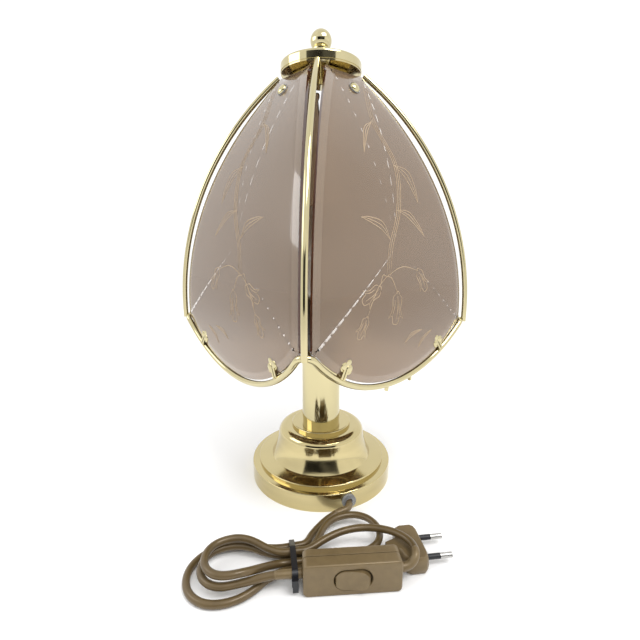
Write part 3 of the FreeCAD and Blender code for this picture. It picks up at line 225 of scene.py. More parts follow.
# the plug's outline: the nose's points lie back from the face and in from the side, the shoulder's
# ahead of the body's end and in from the side, the neck's behind that end and out from the tail
plugSizes = {"centre": (75, -115, 6.85), "turn": 7.5, "long": 19, "wide": 35.3, "thick": 13.7,
             "tailLong": 8, "tailWide": 9, "edge": 1.6, "edgeHalf": 0.134,
             "nose": [(0, 5), (1.0, 1.6), (3.0, 0)], "shoulder": [(5, 0), (2.2, 1.5), (0.6, 4.2)],
             "neck": [(0.2, 4.2), (1.0, 2.4), (3.0, 0.9)],
             "levels": (-1, -0.86, -0.5, 0, 0.5, 0.86, 1), "taperLead": 2, "taper": 0.36, "tailThin": 0.66}


def heading(angle):
    a = math.radians(angle)
    return Vector((math.cos(a), math.sin(a), 0)), Vector((-math.sin(a), math.cos(a), 0))


def runCorners(start, out, end, ahead):  # the two corners of the smooth run between two headings
    v, t = end - start, out + ahead
    spread = 2 * (1 - out.dot(ahead))
    if spread < 1e-9:
        d = v.dot(v) / (4 * v.dot(out))
    else:
        d = (math.sqrt(v.dot(t) ** 2 + spread * v.dot(v)) - v.dot(t)) / spread
    return [start + out * d, end - ahead * d]


def turnCorners(centre, arm, ahead, count=4):  # the control points of a turn's round end
    radius = arm.length / math.cos(math.pi / (2 * count))
    unit = arm.normalized()
    angles = [math.pi * (i + 0.5) / count for i in range(count)]
    return [centre + (unit * math.cos(a) + ahead * math.sin(a)) * radius for a in angles]


cs = cordSizes
tie = Vector((*cs["tie"], 0))
u, v = heading(cs["waistTurn"])
lu, lv = heading(cs["leftTurn"])
ru, rv = heading(cs["rightTurn"])
su = heading(switchSizes["turn"])[0]
pu = heading(plugSizes["turn"])[0]
slant = heading(cs["leadTurn"])[0]
up = Vector((0, 0, 1))
r = cs["radius"]
left = tie - lu * cs["leftReach"] + up * cs["layer"]
right = tie + ru * cs["rightReach"] + up * (cs["layer"] + cs["layerStep"])
base = tie + up * (cs["layer"] + cs["tieLift"])
rear, back = base + v * cs["rearSlot"], base + v * cs["slotStep"]
first = base - v * 3 * cs["slotStep"]
inward, outward = base + up * cs["layerStep"], base - v * cs["slotStep"]
nook = left + up * cs["layerStep"] + lu * cs["innerShort"]
switchCentre = Vector(switchSizes["centre"])
entry = switchCentre - su * switchSizes["long"] / 2
exitPoint = switchCentre + su * switchSizes["long"] / 2
glandTurn = math.radians(cs["glandAngle"])
glandOut = Vector((math.sin(glandTurn), -math.cos(glandTurn), 0))


def glandPoint(reach):
    return glandOut * reach + up * cs["glandHeight"]


hank = [glandPoint(cs["inside"]), glandPoint(cs["outside"])] + [Vector(p) for p in cs["lead"]]
hank += [rear + slant * (2 * r + cs["leadPass"]), rear + slant * r]
hank += runCorners(rear, -slant, left + lv * cs["leftOuter"], -lu)
hank += turnCorners(left, lv * cs["leftOuter"], -lu)
hank += runCorners(left - lv * cs["leftOuter"], lu, first, u)
hank += runCorners(first, u, right - rv * cs["rightLobe"], ru)
hank += turnCorners(right, -rv * cs["rightLobe"], ru)
hank += runCorners(right + rv * cs["rightLobe"], -ru, back, -u)
hank += runCorners(back, -u, nook + lv * cs["leftInner"], -lu)
hank += turnCorners(nook, lv * cs["leftInner"], -lu)
hank += runCorners(nook - lv * cs["leftInner"], lu, entry - su * 4 * r, su)
hank += [entry - su * 2 * r, entry]

top = Vector((left.x, left.y, cs["topLayer"])) + lu * cs["topShort"]
tail = Vector(plugSizes["centre"]) - pu * (plugSizes["long"] + plugSizes["tailLong"])
loop = [exitPoint, exitPoint + su * cs["exitRun"]] + [Vector(p) for p in cs["loop"]]
loop += [inward + u * cs["tiePass"], inward + u * r]
loop += runCorners(inward, -u, top + lv * cs["foldRadius"], -lu)
loop += turnCorners(top, lv * cs["foldRadius"], -lu)
loop += runCorners(top - lv * cs["foldRadius"], lu, outward, u)
loop += [outward + u * r, outward + u * cs["tiePass"]] + [Vector(p) for p in cs["home"]]
loop += [tail - pu * cs["tailRun"], tail]


def makeCord(name, points):
    curve = bpy.data.curves.new(name, "CURVE")
    curve.dimensions = "3D"
    curve.resolution_u = cs["curveSteps"]
    spline = curve.splines.new("NURBS")
    spline.points.add(len(points) - 1)
    for spot, point in zip(spline.points, points):
        spot.co = (*inMetres(point), 1)
    spline.order_u = 3
    spline.use_endpoint_u = True
    obj = bpy.data.objects.new(name, curve)
    scene.collection.objects.link(obj)
    line = bpy.data.meshes.new_from_object(obj)  # the centre line, before it gets its thickness
    path = [vertex.co.copy() for vertex in line.vertices]
    bpy.data.meshes.remove(line)
    curve.bevel_depth = r * 0.001
    curve.bevel_resolution = cs["roundSteps"]
    curve.use_fill_caps = True
    return obj, path


hankCord, hankPath = makeCord("cordFromBase", hank)
loopCord, loopPath = makeCord("cordToPlug", loop)


def pathLength(path):
    return sum((b - a).length for a, b in zip(path, path[1:]))


print("cords: %.3f m from the base to the switch, %.3f m from the switch to the plug"
      % (pathLength(hankPath), pathLength(loopPath)))


# a sleeve that tapers along the cord, from the start given
def reliefSleeve(name, path, start, long, thick, thin, sides=20):
    walked, side, rows = 0.0, None, []
    for i, spot in enumerate(path[:-1]):
        walked += (spot - path[i - 1]).length * 1000 if i else 0
        if walked < start or walked > start + long:
            continue
        along = (path[i + 1] - spot).normalized()
        side = along.cross(up) if side is None else side - along * side.dot(along)
        side = side.normalized()
        rows.append((spot, side, along.cross(side), thick + (thin - thick) * (walked - start) / long))
    verts = [spot + (side * math.cos(a) + over * math.sin(a)) * radius * 0.001
             for spot, side, over, radius in rows
             for a in (2 * math.pi * j / sides for j in range(sides))]
    return closeUp(addMesh(name, verts, tubeFaces(len(rows), sides)))


reliefSizes = {"long": 20, "gland": 3.15, "glandStart": 7.0, "switch": 3.25, "plug": 3.3, "thin": 2.76}
rs = reliefSizes
glandSleeve = reliefSleeve("glandRelief", hankPath, rs["glandStart"], rs["long"], rs["gland"], rs["thin"])
entrySleeve = reliefSleeve("switchReliefIn", hankPath[::-1], 0, rs["long"], rs["switch"], rs["thin"])
exitSleeve = reliefSleeve("switchReliefOut", loopPath, 0, rs["long"], rs["switch"], rs["thin"])
tailSleeve = reliefSleeve("plugRelief", loopPath[::-1], 0, rs["long"], rs["plug"], rs["thin"])


mottle = {"low": 0.32, "high": 0.68, "detail": 5, "finer": 6, "deep": 0.0003}


# noise mottles the paint between darker and full, and sets the roughness between its two ends
def finish(name, paint, rough, scale, bump, darker=0.85, metal=0.0, stretch=(1, 1, 1), **extra):
    material, tree, links, shader = newMaterial(name)
    spots = addNode(tree, "ShaderNodeTexCoord").outputs["Object"]
    mapping = addNode(tree, "ShaderNodeMapping")
    mapping.inputs["Scale"].default_value = stretch
    links.new(spots, mapping.inputs["Vector"])
    noise = addNode(tree, "ShaderNodeTexNoise")
    noise.inputs["Scale"].default_value = scale
    noise.inputs["Detail"].default_value = mottle["detail"]
    links.new(mapping.outputs[0], noise.inputs["Vector"])
    tints = addNode(tree, "ShaderNodeValToRGB")
    dark, full = tints.color_ramp.elements
    dark.position, full.position = mottle["low"], mottle["high"]
    dark.color = (*(c * darker for c in paint[:3]), 1)
    full.color = paint
    links.new(noise.outputs[0], tints.inputs[0])
    links.new(tints.outputs[0], shader.inputs["Base Color"])
    roughness = addNode(tree, "ShaderNodeMapRange")
    roughness.inputs["To Min"].default_value, roughness.inputs["To Max"].default_value = rough
    links.new(noise.outputs[0], roughness.inputs["Value"])
    links.new(roughness.outputs[0], shader.inputs["Roughness"])
    fine = addNode(tree, "ShaderNodeTexNoise")
    fine.inputs["Scale"].default_value = scale * mottle["finer"]
    links.new(mapping.outputs[0], fine.inputs["Vector"])
    relief = addNode(tree, "ShaderNodeBump")
    relief.inputs["Strength"].default_value = bump
    relief.inputs["Distance"].default_value = mottle["deep"]
    links.new(fine.outputs[0], relief.inputs["Height"])
    links.new(relief.outputs[0], shader.inputs["Normal"])
    shader.inputs["Metallic"].default_value = metal
    for key, content in extra.items():
        shader.inputs[key.replace("_", " ")].default_value = content
    return material


brassTints = {"pale": (0.60, 0.53, 0.31, 1), "spun": (0.58, 0.49, 0.26, 1)}
brass = finish("polishedBrass", brassTints["pale"], (0.05, 0.13), 22, 0.035, 0.94, 1.0)
deepBrass = finish("spunBrass", brassTints["spun"], (0.07, 0.15), 18, 0.04, 0.92, 1.0, (1, 1, 9))
goldPlastic = finish("goldPlastic", colour(118, 100, 68), (0.34, 0.48), 190, 0.22, 0.86, 0.25,
                     Coat_Weight=0.12)
goldCord = finish("goldCordSkin", colour(100, 82, 50), (0.30, 0.42), 120, 0.14, 0.82, 0.2, Coat_Weight=0.15)
blackNylon = finish("blackNylon", (0.006, 0.0065, 0.010, 1), (0.28, 0.42), 160, 0.15, 0.7)
blackSleeve = finish("blackSleeve", (0.008, 0.0085, 0.012, 1), (0.35, 0.5), 200, 0.1, 0.7)
nickel = finish("nickelPins", (0.50, 0.49, 0.47, 1), (0.18, 0.32), 140, 0.08, 0.85, 1.0)
zinc = finish("zincSteel", (0.56, 0.56, 0.55, 1), (0.25, 0.4), 90, 0.12, 0.8, 1.0)
feltCloth = finish("greenFelt", (0.022, 0.03, 0.022, 1), (0.9, 1.0), 420, 0.8, 0.6)
fibreBoard = finish("fibreBoard", (0.11, 0.075, 0.05, 1), (0.7, 0.85), 150, 0.4, 0.75)
castIron = finish("castBallast", (0.06, 0.06, 0.062, 1), (0.6, 0.8), 120, 0.6, 0.7, 0.6)
bakelite = finish("brownBakelite", (0.035, 0.022, 0.015, 1), (0.22, 0.36), 60, 0.08, 0.75)
porcelain = finish("porcelain", (0.78, 0.76, 0.7, 1), (0.16, 0.3), 60, 0.05, 0.94)
bulbCapMetal = finish("bulbCapMetal", (0.62, 0.6, 0.55, 1), (0.2, 0.35), 80, 0.1, 0.85, 1.0)
clearRubber = finish("clearRubber", (0.45, 0.46, 0.47, 1), (0.2, 0.35), 90, 0.1, 0.85,
                     Transmission_Weight=0.45)
opalBulb = finish("opalBulb", (0.88, 0.86, 0.82, 1), (0.12, 0.25), 30, 0.02, 0.97, Transmission_Weight=0.35)
etched = finish("etchedLines", colour(172, 150, 122), (0.5, 0.7), 500, 0.3, 0.9)
smoked = finish("smokedGlass", colour(150, 124, 96), (0.20, 0.30), 14, 0.0, 0.95,
                Transmission_Weight=0.55, Coat_Weight=0.7, Coat_Roughness=0.05)
bevelled = finish("bevelledGlass", colour(172, 148, 122), (0.08, 0.16), 14, 0.0, 0.95,
                  Transmission_Weight=0.6, Coat_Weight=0.9, Coat_Roughness=0.04)
glassEdge = finish("glassEdge", colour(84, 48, 30), (0.10, 0.2), 60, 0.05, 0.7, Coat_Weight=0.8,
                   Coat_Roughness=0.05)
print("finishes: brass, glass, plastic, cord and the inner parts")

nodeFinish = {
    brass: ["column_tube", "column_collar", "column_cap", "crown_cap", "crown_spacer", "finial",
            "rib_front", "rib_right", "rib_rear", "rib_left", "shade_ring", "ring_lugs", "ring_clips",
            "panel_screws", "harp_wire", "harp_saddle", "harp_ferrules", "harp_stud"],
    deepBrass: ["base_shell", "crown_spider", "lampholder_sleeve"],
    zinc: ["stem_rod", "stem_washer", "stem_nut", "panel_nuts", "lampholder_contact", "switch_screws"],
    goldPlastic: ["switch_rocker", "plug_body", "switch_front_cover", "switch_rear_cover"],
    clearRubber: ["cord_gland", "panel_pads"], bakelite: ["lampholder_base", "lampholder_shell"],
    feltCloth: ["felt_pad"], fibreBoard: ["base_cover"], castIron: ["base_weight"],
    porcelain: ["lampholder_insert"], bulbCapMetal: ["bulb_cap"], opalBulb: ["bulb_glass"],
    goldCord: ["inner_lead"], nickel: ["plug_pins"], blackSleeve: ["pin_sleeves"],
    blackNylon: ["cable_tie"]}
for material, names in nodeFinish.items():
    for name in names:
        nodes[name].data.materials.clear()
        nodes[name].data.materials.append(material)

dress(hankCord, goldCord, "stand", "gold_cord", "cord_lead", "cord_hank")
dress(loopCord, goldCord, "stand", "gold_cord", "cord_loop", "cord_fold", "cord_plug_lead")
for sleeve in (glandSleeve, entrySleeve, exitSleeve, tailSleeve):
    dress(sleeve, goldPlastic, "stand", "gold_plastic")

# a panel is cut from a bent sheet: across the panel, then up, as seen from outside
glass = {"turn": -4.6, "arc": 327.5, "reach": 92.5, "level": 165, "thick": 3, "top": 358, "topHalf": 14.6,
         "sideArc": 312, "sideTop": (21.32, 354), "sideFoot": (85.16, 163), "foot": (81.8, 157.1),
         "bottomArc": 111.6, "round": 4, "bevel": 5.6, "bevelDeep": 0.9, "bevelMeet": 1.0, "centre": 225,
         "bottomSteps": 80, "sideSteps": 60, "roundSteps": 8, "topSteps": 10}


def arcPoints(a, b, radius, count):  # from a to b, bulging to the right of the way from a to b
    a, b = Vector(a), Vector(b)
    middle, half = (a + b) / 2, (b - a) / 2
    normal = Vector((half.y, -half.x)).normalized()
    centre = middle - normal * math.sqrt(max(radius ** 2 - half.length_squared, 0))
    start = math.atan2(*(a - centre).yx)
    sweep = (math.atan2(*(b - centre).yx) - start + math.pi) % (2 * math.pi) - math.pi
    angles = [start + sweep * i / count for i in range(count)]
    return [centre + Vector((math.cos(angle), math.sin(angle))) * radius for angle in angles]


def glassOutline():
    g = glass
    foot, side, high = Vector(g["foot"]), Vector(g["sideFoot"]), Vector(g["sideTop"])
    crown = Vector((g["topHalf"], g["top"]))
    flip = Vector((-1, 1))
    points = arcPoints(foot * flip, foot, g["bottomArc"], g["bottomSteps"])
    points += arcPoints(foot, side, g["round"], g["roundSteps"])
    points += arcPoints(side, high, g["sideArc"], g["sideSteps"])
    points += arcPoints(high, crown, g["round"], g["roundSteps"])
    points += [crown + (crown * flip - crown) * i / g["topSteps"] for i in range(g["topSteps"])]
    points += arcPoints(crown * flip, high * flip, g["round"], g["roundSteps"])
    points += arcPoints(high * flip, side * flip, g["sideArc"], g["sideSteps"])
    points += arcPoints(side * flip, foot * flip, g["round"], g["roundSteps"])
    return points


def pullIn(points, distance):  # the outline moved inwards
    out = []
    for i, p in enumerate(points):
        along = (points[(i + 1) % len(points)] - points[i - 1]).normalized()
        out.append(p + Vector((-along.y, along.x)) * distance)
    return out


panelTurns = {"right_front": -45, "right_rear": 45, "left_rear": 135, "left_front": 225}


def onGlass(s, t, depth, turn):  # a spot on the bent sheet, this deep below its outer face
    radius = glass["arc"] - depth
    rise = t - glass["level"]
    out = glass["reach"] - glass["arc"] + math.sqrt(radius ** 2 - rise ** 2)
    return Matrix.Rotation(math.radians(turn + glass["turn"]), 3, "Z") @ inMetres((out, s, t))


def makePanel(name, turn):
    outer = glassOutline()
    inner = pullIn(outer, glass["bevel"])
    for i, p in enumerate(inner):  # a corner smaller than the bevel closes to a point
        p.x = min(abs(p.x), max(abs(outer[i].x) - glass["bevelMeet"], 0)) * (1 if p.x > 0 else -1)
    centre, count = Vector((0, glass["centre"])), len(outer)
    shares = [0.06, 0.15, 0.25, 0.35, 0.45, 0.55, 0.64, 0.73, 0.81, 0.88, 0.95, 1]
    verts, faces, kinds = [], [], []

    def ring(points, depth):
        verts.extend(onGlass(p.x, p.y, depth, turn) for p in points)
        return len(verts) - count

    def band(a, b, kind):
        for i in range(count):
            j = (i + 1) % count
            faces.append((a + i, a + j, b + j, b + i))
            kinds.append(kind)

    def fan(depth, start, kind):
        verts.append(onGlass(0, glass["centre"], depth, turn))
        for i in range(count):
            faces.append((len(verts) - 1, start + i, start + (i + 1) % count))
            kinds.append(kind)

    front = [ring([centre + (p - centre) * share for p in inner], 0) for share in shares]
    fan(0, front[0], 0)
    for a, b in zip(front, front[1:]):
        band(a, b, 0)
    lip = ring(outer, glass["bevelDeep"])
    band(front[-1], lip, 1)
    heel = ring(outer, glass["thick"])
    band(lip, heel, 2)
    rear = [ring([centre + (p - centre) * share for p in outer], glass["thick"]) for share in shares[:-1]]
    band(heel, rear[-1], 0)
    for a, b in zip(rear[::-1], rear[-2::-1]):
        band(a, b, 0)
    fan(glass["thick"], rear[0], 0)
    panel = addMesh("glassPanel_" + name, verts, faces)
    for polygon, kind in zip(panel.data.polygons, kinds):
        polygon.material_index = kind
    closeUp(panel)
    panel.data.set_sharp_from_angle(angle=math.radians(sharp["glass"]))
    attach(panel, "shade")
    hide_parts("glass_" + name)
    for material in (smoked, bevelled, glassEdge):
        panel.data.materials.append(material)
    return panel


for name, turn in panelTurns.items():
    makePanel(name, turn)
print("glass: four bent panels with bevelled rims")

# the etched spray of bells and long leaves: a bell is (across, up, turn, size), a leaf goes from
# one spot to another with a bow
drawing = {"line": 0.32, "proud": 0.05, "spacing": 2.1, "strands": 3,
           "stem": [(12, 348), (4, 318), (14, 286), (6, 252), (-8, 226), (-14, 204)],
           "bells": [(-22, 196, 205, 1.0), (-2, 190, 262, 1.15), (24, 206, 300, 0.95),
                     (-36, 176, 238, 0.8)],
           "leaves": [(14, 286, 34, 258, 22), (6, 252, 36, 232, 14), (-6, 230, -34, 246, -16),
                      (4, 318, -16, 292, -10)],
           "sprig": [(8, 150, 30, 158, 8), (26, 142, 44, 156, 8)], "veins": (0.15, 0.32, 0.5), "drop": 5,
           "bend": ((0.35, 1), (0.75, 0.6)),
           "petals": [[(0, 2.0), (3, 4.5), (10, 4.2), (16, 7.5)],
                      [(0, -2.0), (3, -4.5), (10, -4.2), (16, -7.5)],
                      [(16, 7.5), (14.5, 4), (19, 2.6), (20, 0), (19, -2.6), (14.5, -4), (16, -7.5)],
                      [(1, 0), (8, 1), (17, 0.5)], [(0, 2.0), (-2, 0), (0, -2.0)],
                      [(4, 2), (10, 2.4), (14, 4)], [(4, -2), (10, -2.4), (14, -4)]]}


def smoothLine(points, steps=12):  # a smooth line that passes through the points
    pts = [Vector(p) for p in points]
    pts = [2 * pts[0] - pts[1]] + pts + [2 * pts[-1] - pts[-2]]
    line = []
    for a, b, c, d in zip(pts, pts[1:], pts[2:], pts[3:]):
        for i in range(steps):
            t = i / steps
            line.append(0.5 * (2 * b + (c - a) * t + (2 * a - 5 * b + 4 * c - d) * t * t
                               + (3 * b - a - 3 * c + d) * t ** 3))
    return line + [pts[-2]]


def bellStrokes(s, t, angle, size):  # a hanging bell flower with three flared petals
    turn = Matrix.Rotation(math.radians(angle), 2)
    return [[Vector((s, t)) + turn @ (Vector(p) * size) for p in petal] for petal in drawing["petals"]]


def leafStrokes(s, t, endS, endT, bow):
    a, b = Vector((s, t)), Vector((endS, endT))
    across = Vector((-(b - a).y, (b - a).x)).normalized()
    return [[a] + [a.lerp(b, share) + across * bow * part * vein for share, part in drawing["bend"]] + [b]
            for vein in drawing["veins"]]


def drawOnGlass(name, turn, mirror):
    d, strokes = drawing, []
    for k in range(d["strands"]):
        strokes.append([Vector(p) + Vector((d["spacing"] * k, 0)) for p in d["stem"]])
    for bell in d["bells"]:
        strokes += bellStrokes(*bell)
        tip, bud = Vector(d["stem"][-1]), Vector(bell[:2])
        strokes.append([tip, (tip + bud) / 2 + Vector((0, d["drop"])), bud])
    for leaf in d["leaves"] + d["sprig"]:
        strokes += leafStrokes(*leaf)
    verts, faces = [], []
    for stroke in strokes:
        line = smoothLine(stroke)
        for i, p in enumerate(line):
            along = (line[min(i + 1, len(line) - 1)] - line[max(i - 1, 0)]).normalized()
            wide = d["line"] * (0.35 + 0.65 * math.sin(math.pi * (i + 0.6) / (len(line) + 0.2)))
            side = Vector((-along.y, along.x)) * wide
            for q in (p - side, p + side):
                verts.append(onGlass(q.x * mirror, q.y, -d["proud"], turn))
            if i:
                n = len(verts)
                face = (n - 4, n - 2, n - 1, n - 3)
                faces.append(face if mirror < 0 else face[::-1])
    etching = addMesh("etching_" + name, verts, faces)
    return dress(etching, etched, "shade", "smoked_glass")


for name, turn in panelTurns.items():
    drawOnGlass(name, turn, -1 if "left" in name else 1)
print("etching: a bell flower spray on each panel")


def nodeGroup(name, sizes):
    tree = bpy.data.node_groups.new(name, "GeometryNodeTree")
    tree.interface.new_socket("Geometry", in_out="INPUT", socket_type="NodeSocketGeometry")
    tree.interface.new_socket("Geometry", in_out="OUTPUT", socket_type="NodeSocketGeometry")
    sockets = {}
    for key, size in sizes.items():
        socket = tree.interface.new_socket(key, in_out="INPUT", socket_type="NodeSocketFloat")
        socket.default_value = size
        sockets[key] = socket.identifier
    return tree, sockets


# one shape, made by nodes, at every spot: the sizes are the node group's inputs
def scatter(name, spots, sizes, build, material, body, slot, *replaced):
    holder = bpy.data.meshes.new(name)
    holder.from_pydata([tuple(place.translation) for place in spots], [], [])
    turns = holder.attributes.new("turn", "FLOAT_VECTOR", "POINT")
    for i, place in enumerate(spots):
        turns.data[i].vector = place.to_euler()
    obj = bpy.data.objects.new(name, holder)
    scene.collection.objects.link(obj)
    tree, sockets = nodeGroup(name + "Maker", sizes)
    n, link = tree.nodes, tree.links
    source, out = n.new("NodeGroupInput"), n.new("NodeGroupOutput")
    placed = n.new("GeometryNodeInstanceOnPoints")
    read = addNode(n, "GeometryNodeInputNamedAttribute", data_type="FLOAT_VECTOR")
    read.inputs["Name"].default_value = "turn"
    real, paint = n.new("GeometryNodeRealizeInstances"), n.new("GeometryNodeSetMaterial")
    paint.inputs["Material"].default_value = material
    link.new(source.outputs["Geometry"], placed.inputs["Points"])
    link.new(build(n, link, source), placed.inputs["Instance"])
    link.new(read.outputs[0], placed.inputs["Rotation"])
    link.new(placed.outputs[0], real.inputs[0])
    link.new(real.outputs[0], paint.inputs[0])
    link.new(paint.outputs[0], out.inputs[0])
    maker = obj.modifiers.new("maker", "NODES")
    maker.node_group = tree
    for key, identifier in sockets.items():
        maker[identifier] = sizes[key]
    made = bpy.data.meshes.new_from_object(obj.evaluated_get(bpy.context.evaluated_depsgraph_get()))
    obj.modifiers.clear()
    obj.data = made
    for polygon in made.polygons:
        polygon.use_smooth = True
    made.set_sharp_from_angle(angle=math.radians(sharp["scattered"]))
    closeUp(obj)
    return dress(obj, material, body, slot, *replaced)


def nodeMaths(n, link, operation, a, b):
    return feed(link, addNode(n, "ShaderNodeMath", operation=operation), (a, b))


def triple(n, link, x, y, z):
    return feed(link, n.new("ShaderNodeCombineXYZ"), (x, y, z))


def moved(n, link, geometry, place, scale=None):
    node = n.new("GeometryNodeTransform")
    link.new(geometry, node.inputs["Geometry"])
    link.new(place, node.inputs["Translation"])
    if scale is not None:
        link.new(scale, node.inputs["Scale"])
    return node.outputs[0]


def joined(n, link, pieces):
    node = n.new("GeometryNodeJoinGeometry")
    for piece in pieces:
        link.new(piece, node.inputs[0])
    return node.outputs[0]


def clipLeaf(n, link, source):  # three round lobes over a stalk that is slit down its middle
    g = source.outputs
    pieces = []
    for side, high in clipShape["lobes"]:
        ball = n.new("GeometryNodeMeshUVSphere")
        ball.inputs["Segments"].default_value, ball.inputs["Rings"].default_value = 24, 12
        link.new(g["Leaf radius"], ball.inputs["Radius"])
        swell = nodeMaths(n, link, "MULTIPLY", g["Leaf radius"], high)
        at = triple(n, link, 0, nodeMaths(n, link, "MULTIPLY", g["Leaf spread"], side),
                    nodeMaths(n, link, "ADD", g["Stalk length"], swell))
        flat = nodeMaths(n, link, "DIVIDE", g["Thickness"], g["Leaf radius"])
        pieces.append(moved(n, link, ball.outputs[0], at, triple(n, link, flat, 1, 1)))
    for side in (-1, 1):
        bar = n.new("GeometryNodeMeshCube")
        both = nodeMaths(n, link, "SUBTRACT", g["Stalk width"], g["Slit"])
        wide = nodeMaths(n, link, "MULTIPLY", both, 0.5)
        link.new(triple(n, link, g["Thickness"], wide, g["Stalk length"]), bar.inputs["Size"])
        across = nodeMaths(n, link, "MULTIPLY", nodeMaths(n, link, "ADD", g["Slit"], wide), 0.5 * side)
        middle = nodeMaths(n, link, "MULTIPLY", g["Stalk length"], clipShape["stalkAt"])
        at = triple(n, link, 0, across, middle)
        pieces.append(moved(n, link, bar.outputs[0], at))
    return joined(n, link, pieces)


# the hoop's side is an arc that leans outwards, and each side holds two clips
hoop = {"mid": 88, "low": 118, "lean": 7.5, "arc": 115}
clipSeat = {"across": 60, "recline": 5, "out": 0.9, "up": 0.6}
clipShape = {"lobes": ((0, 1.75), (-1, 0.45), (1, 0.45)), "stalkAt": 0.62}  # side and height, in leaf sizes
clipSizes = {"Leaf radius": 0.0031, "Leaf spread": 0.0029, "Thickness": 0.0011, "Stalk length": 0.0086,
             "Stalk width": 0.0046, "Slit": 0.0008}


def ringSeat(across):  # the hoop's point this far across the panel
    rise = hoop["arc"] - math.sqrt(hoop["arc"] ** 2 - across ** 2)
    lean = math.radians(hoop["lean"])
    return Vector((hoop["mid"] + rise * math.sin(lean), across, hoop["low"] + rise * math.cos(lean)))


def clipPlace(turn, side):
    tilt = math.asin(clipSeat["across"] / hoop["arc"]) * side
    place = Matrix.Rotation(math.radians(turn + glass["turn"]), 4, "Z")
    place = place @ Matrix.Translation(inMetres(ringSeat(clipSeat["across"] * side)))
    place = place @ Matrix.Rotation(tilt, 4, "X")
    place = place @ Matrix.Rotation(-math.radians(clipSeat["recline"]), 4, "Y")
    return place @ Matrix.Translation(inMetres((glass["thick"] / 2 + clipSeat["out"], 0, clipSeat["up"])))


clipPlaces = [clipPlace(turn, side) for turn in panelTurns.values() for side in (-1, 1)]
scatter("ringClipLeaves", clipPlaces, clipSizes, clipLeaf, brass, "shade", "polished_brass")


def screwDome(n, link, source):  # a flattened ball, partly sunk in the glass
    g = source.outputs
    ball = n.new("GeometryNodeMeshUVSphere")
    ball.inputs["Segments"].default_value, ball.inputs["Rings"].default_value = 32, 16
    link.new(g["Head radius"], ball.inputs["Radius"])
    flat = nodeMaths(n, link, "DIVIDE", g["Head height"], g["Head radius"])
    return moved(n, link, ball.outputs[0], triple(n, link, 0, 0, 0), triple(n, link, 1, 1, flat))


screwSizes = {"Head radius": 0.0043, "Head height": 0.0024}
screwSeat = {"angle": 33.1, "proud": 0.75}


def screwPlace(turn):
    a = math.radians(screwSeat["angle"])
    normal = Vector((math.cos(a), 0, math.sin(a)))
    at = Vector((glass["reach"] - glass["arc"], 0, glass["level"]))
    at += normal * (glass["arc"] + screwSeat["proud"])
    place = Matrix.Rotation(math.radians(turn + glass["turn"]), 4, "Z") @ Matrix.Translation(inMetres(at))
    return place @ normal.to_track_quat("Z", "Y").to_matrix().to_4x4()


screwPlaces = [screwPlace(turn) for turn in panelTurns.values()]
scatter("panelScrewHeads", screwPlaces, screwSizes, screwDome, brass, "shade", "polished_brass")
print("clips and screws: eight leaf clips, four domed heads")


def roundedLoop(halfX, halfZ, radius, per=7):  # a rounded rectangle in the XZ plane
    radius = max(min(radius, halfX, halfZ), 0.01)
    spots = []
    for cx, cz, start in ((1, 1, 0), (-1, 1, 90), (-1, -1, 180), (1, -1, 270)):
        for i in range(per):
            a = math.radians(start + 90 * i / (per - 1))
            spots.append((cx * (halfX - radius) + radius * math.cos(a),
                          cz * (halfZ - radius) + radius * math.sin(a)))
    return spots


def loft(name, loops, place):  # loops of local points, joined in order
    verts = [place @ inMetres(p) for loop in loops for p in loop]
    obj = closeUp(addMesh(name, verts, tubeFaces(len(loops), len(loops[0]))))
    obj.data.set_sharp_from_angle(angle=math.radians(sharp["housing"]))
    return obj


def placeOf(sizes):
    return (Matrix.Translation(inMetres(sizes["centre"]))
            @ Matrix.Rotation(math.radians(sizes["turn"]), 4, "Z"))


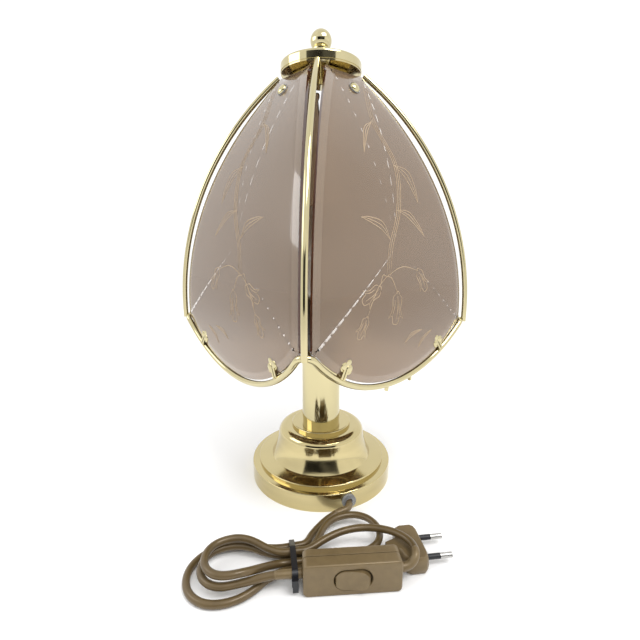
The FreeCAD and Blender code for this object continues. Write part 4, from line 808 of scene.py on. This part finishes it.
def coverLoops(face, seam, direction, slotted):  # from the seam over the rounded edge into the slot
    w = switchSizes

    def at(y, inset):
        spots = roundedLoop(w["long"] / 2 - inset, w["high"] / 2 - inset, w["corner"] - inset)
        return [(x, y, z) for x, z in spots]

    def slotAt(y, flare):  # its ends are half circles, because the radius is cut back to half the height
        spots = roundedLoop(w["slotLong"] / 2 + flare, w["slotHigh"] / 2 + flare, w["slotHigh"])
        return [(x, y, z) for x, z in spots]

    loops = [at(seam, w["seamIn"]), at(seam, w["seamLip"]), at(seam - direction * w["seamRound"], 0)]
    for i in range(w["edgeSteps"] + 1):
        a = math.radians(90 * i / w["edgeSteps"])
        loops.append(at(face + direction * w["edge"] * (1 - math.sin(a)), w["edge"] * (1 - math.cos(a))))
    if slotted:
        loops.append(slotAt(face, w["slotFlare"]))
        loops.append(slotAt(face + direction * w["slotLip"], 0))
        loops.append(slotAt(face + direction * w["slotDeep"], 0))
    return loops


switchPlace = placeOf(switchSizes)
ws = switchSizes
frontLoops = coverLoops(-ws["deep"] / 2, ws["seam"] - ws["seamGap"] / 2, 1, True)
rearLoops = coverLoops(ws["deep"] / 2, ws["seam"] + ws["seamGap"] / 2, -1, False)
frontHalf = loft("switchFront", frontLoops, switchPlace)
rearHalf = loft("switchRear", rearLoops, switchPlace)
dress(frontHalf, goldPlastic, "stand", "gold_plastic", "switch_front_cover")
dress(rearHalf, goldPlastic, "stand", "gold_plastic", "switch_rear_cover")
print("switch: two rounded halves round the rocker")


def plugOutline(inset):  # the flat body seen from above, wide at the pins, narrow at the cord
    p = plugSizes
    half, tail = p["wide"] / 2 - inset, p["tailWide"] / 2 - inset * 0.5
    long, end = p["long"] - inset, p["long"] + p["tailLong"]
    side = [(-inset, 0)] + [(-inset - back, half - narrow) for back, narrow in p["nose"]]
    side += [(-long + ahead, half - narrow) for ahead, narrow in p["shoulder"]]
    side += [(-long - back, tail + wider) for back, wider in p["neck"]] + [(-end, tail)]
    return side + [(x, -y) for x, y in side[:0:-1]]


def plugInset(share):  # how far the rounded edge draws in at this share of the half thickness
    if abs(share) > 0.5:
        return plugSizes["edge"] * (1 - math.sqrt(max(1 - abs(share) ** 2, 0)))
    return plugSizes["edge"] * plugSizes["edgeHalf"] * abs(share) * 2


def plugTaper(x):  # the tail grows thinner towards the cord
    p = plugSizes
    if x > -p["long"] + p["taperLead"]:
        return 1
    gone = (-x - p["long"] + p["taperLead"]) / (p["tailLong"] + p["taperLead"])
    return max(p["tailThin"], 1 - gone * p["taper"])


plugHeight = plugSizes["thick"] / 2
plugLoops = [[(x, y, share * plugHeight * plugTaper(x)) for x, y in plugOutline(plugInset(share))]
             for share in plugSizes["levels"]]
plugShell = loft("plugShell", plugLoops, placeOf(plugSizes))
dress(plugShell, goldPlastic, "stand", "gold_plastic", "plug_body")
print("plug: a flat two-pin body")
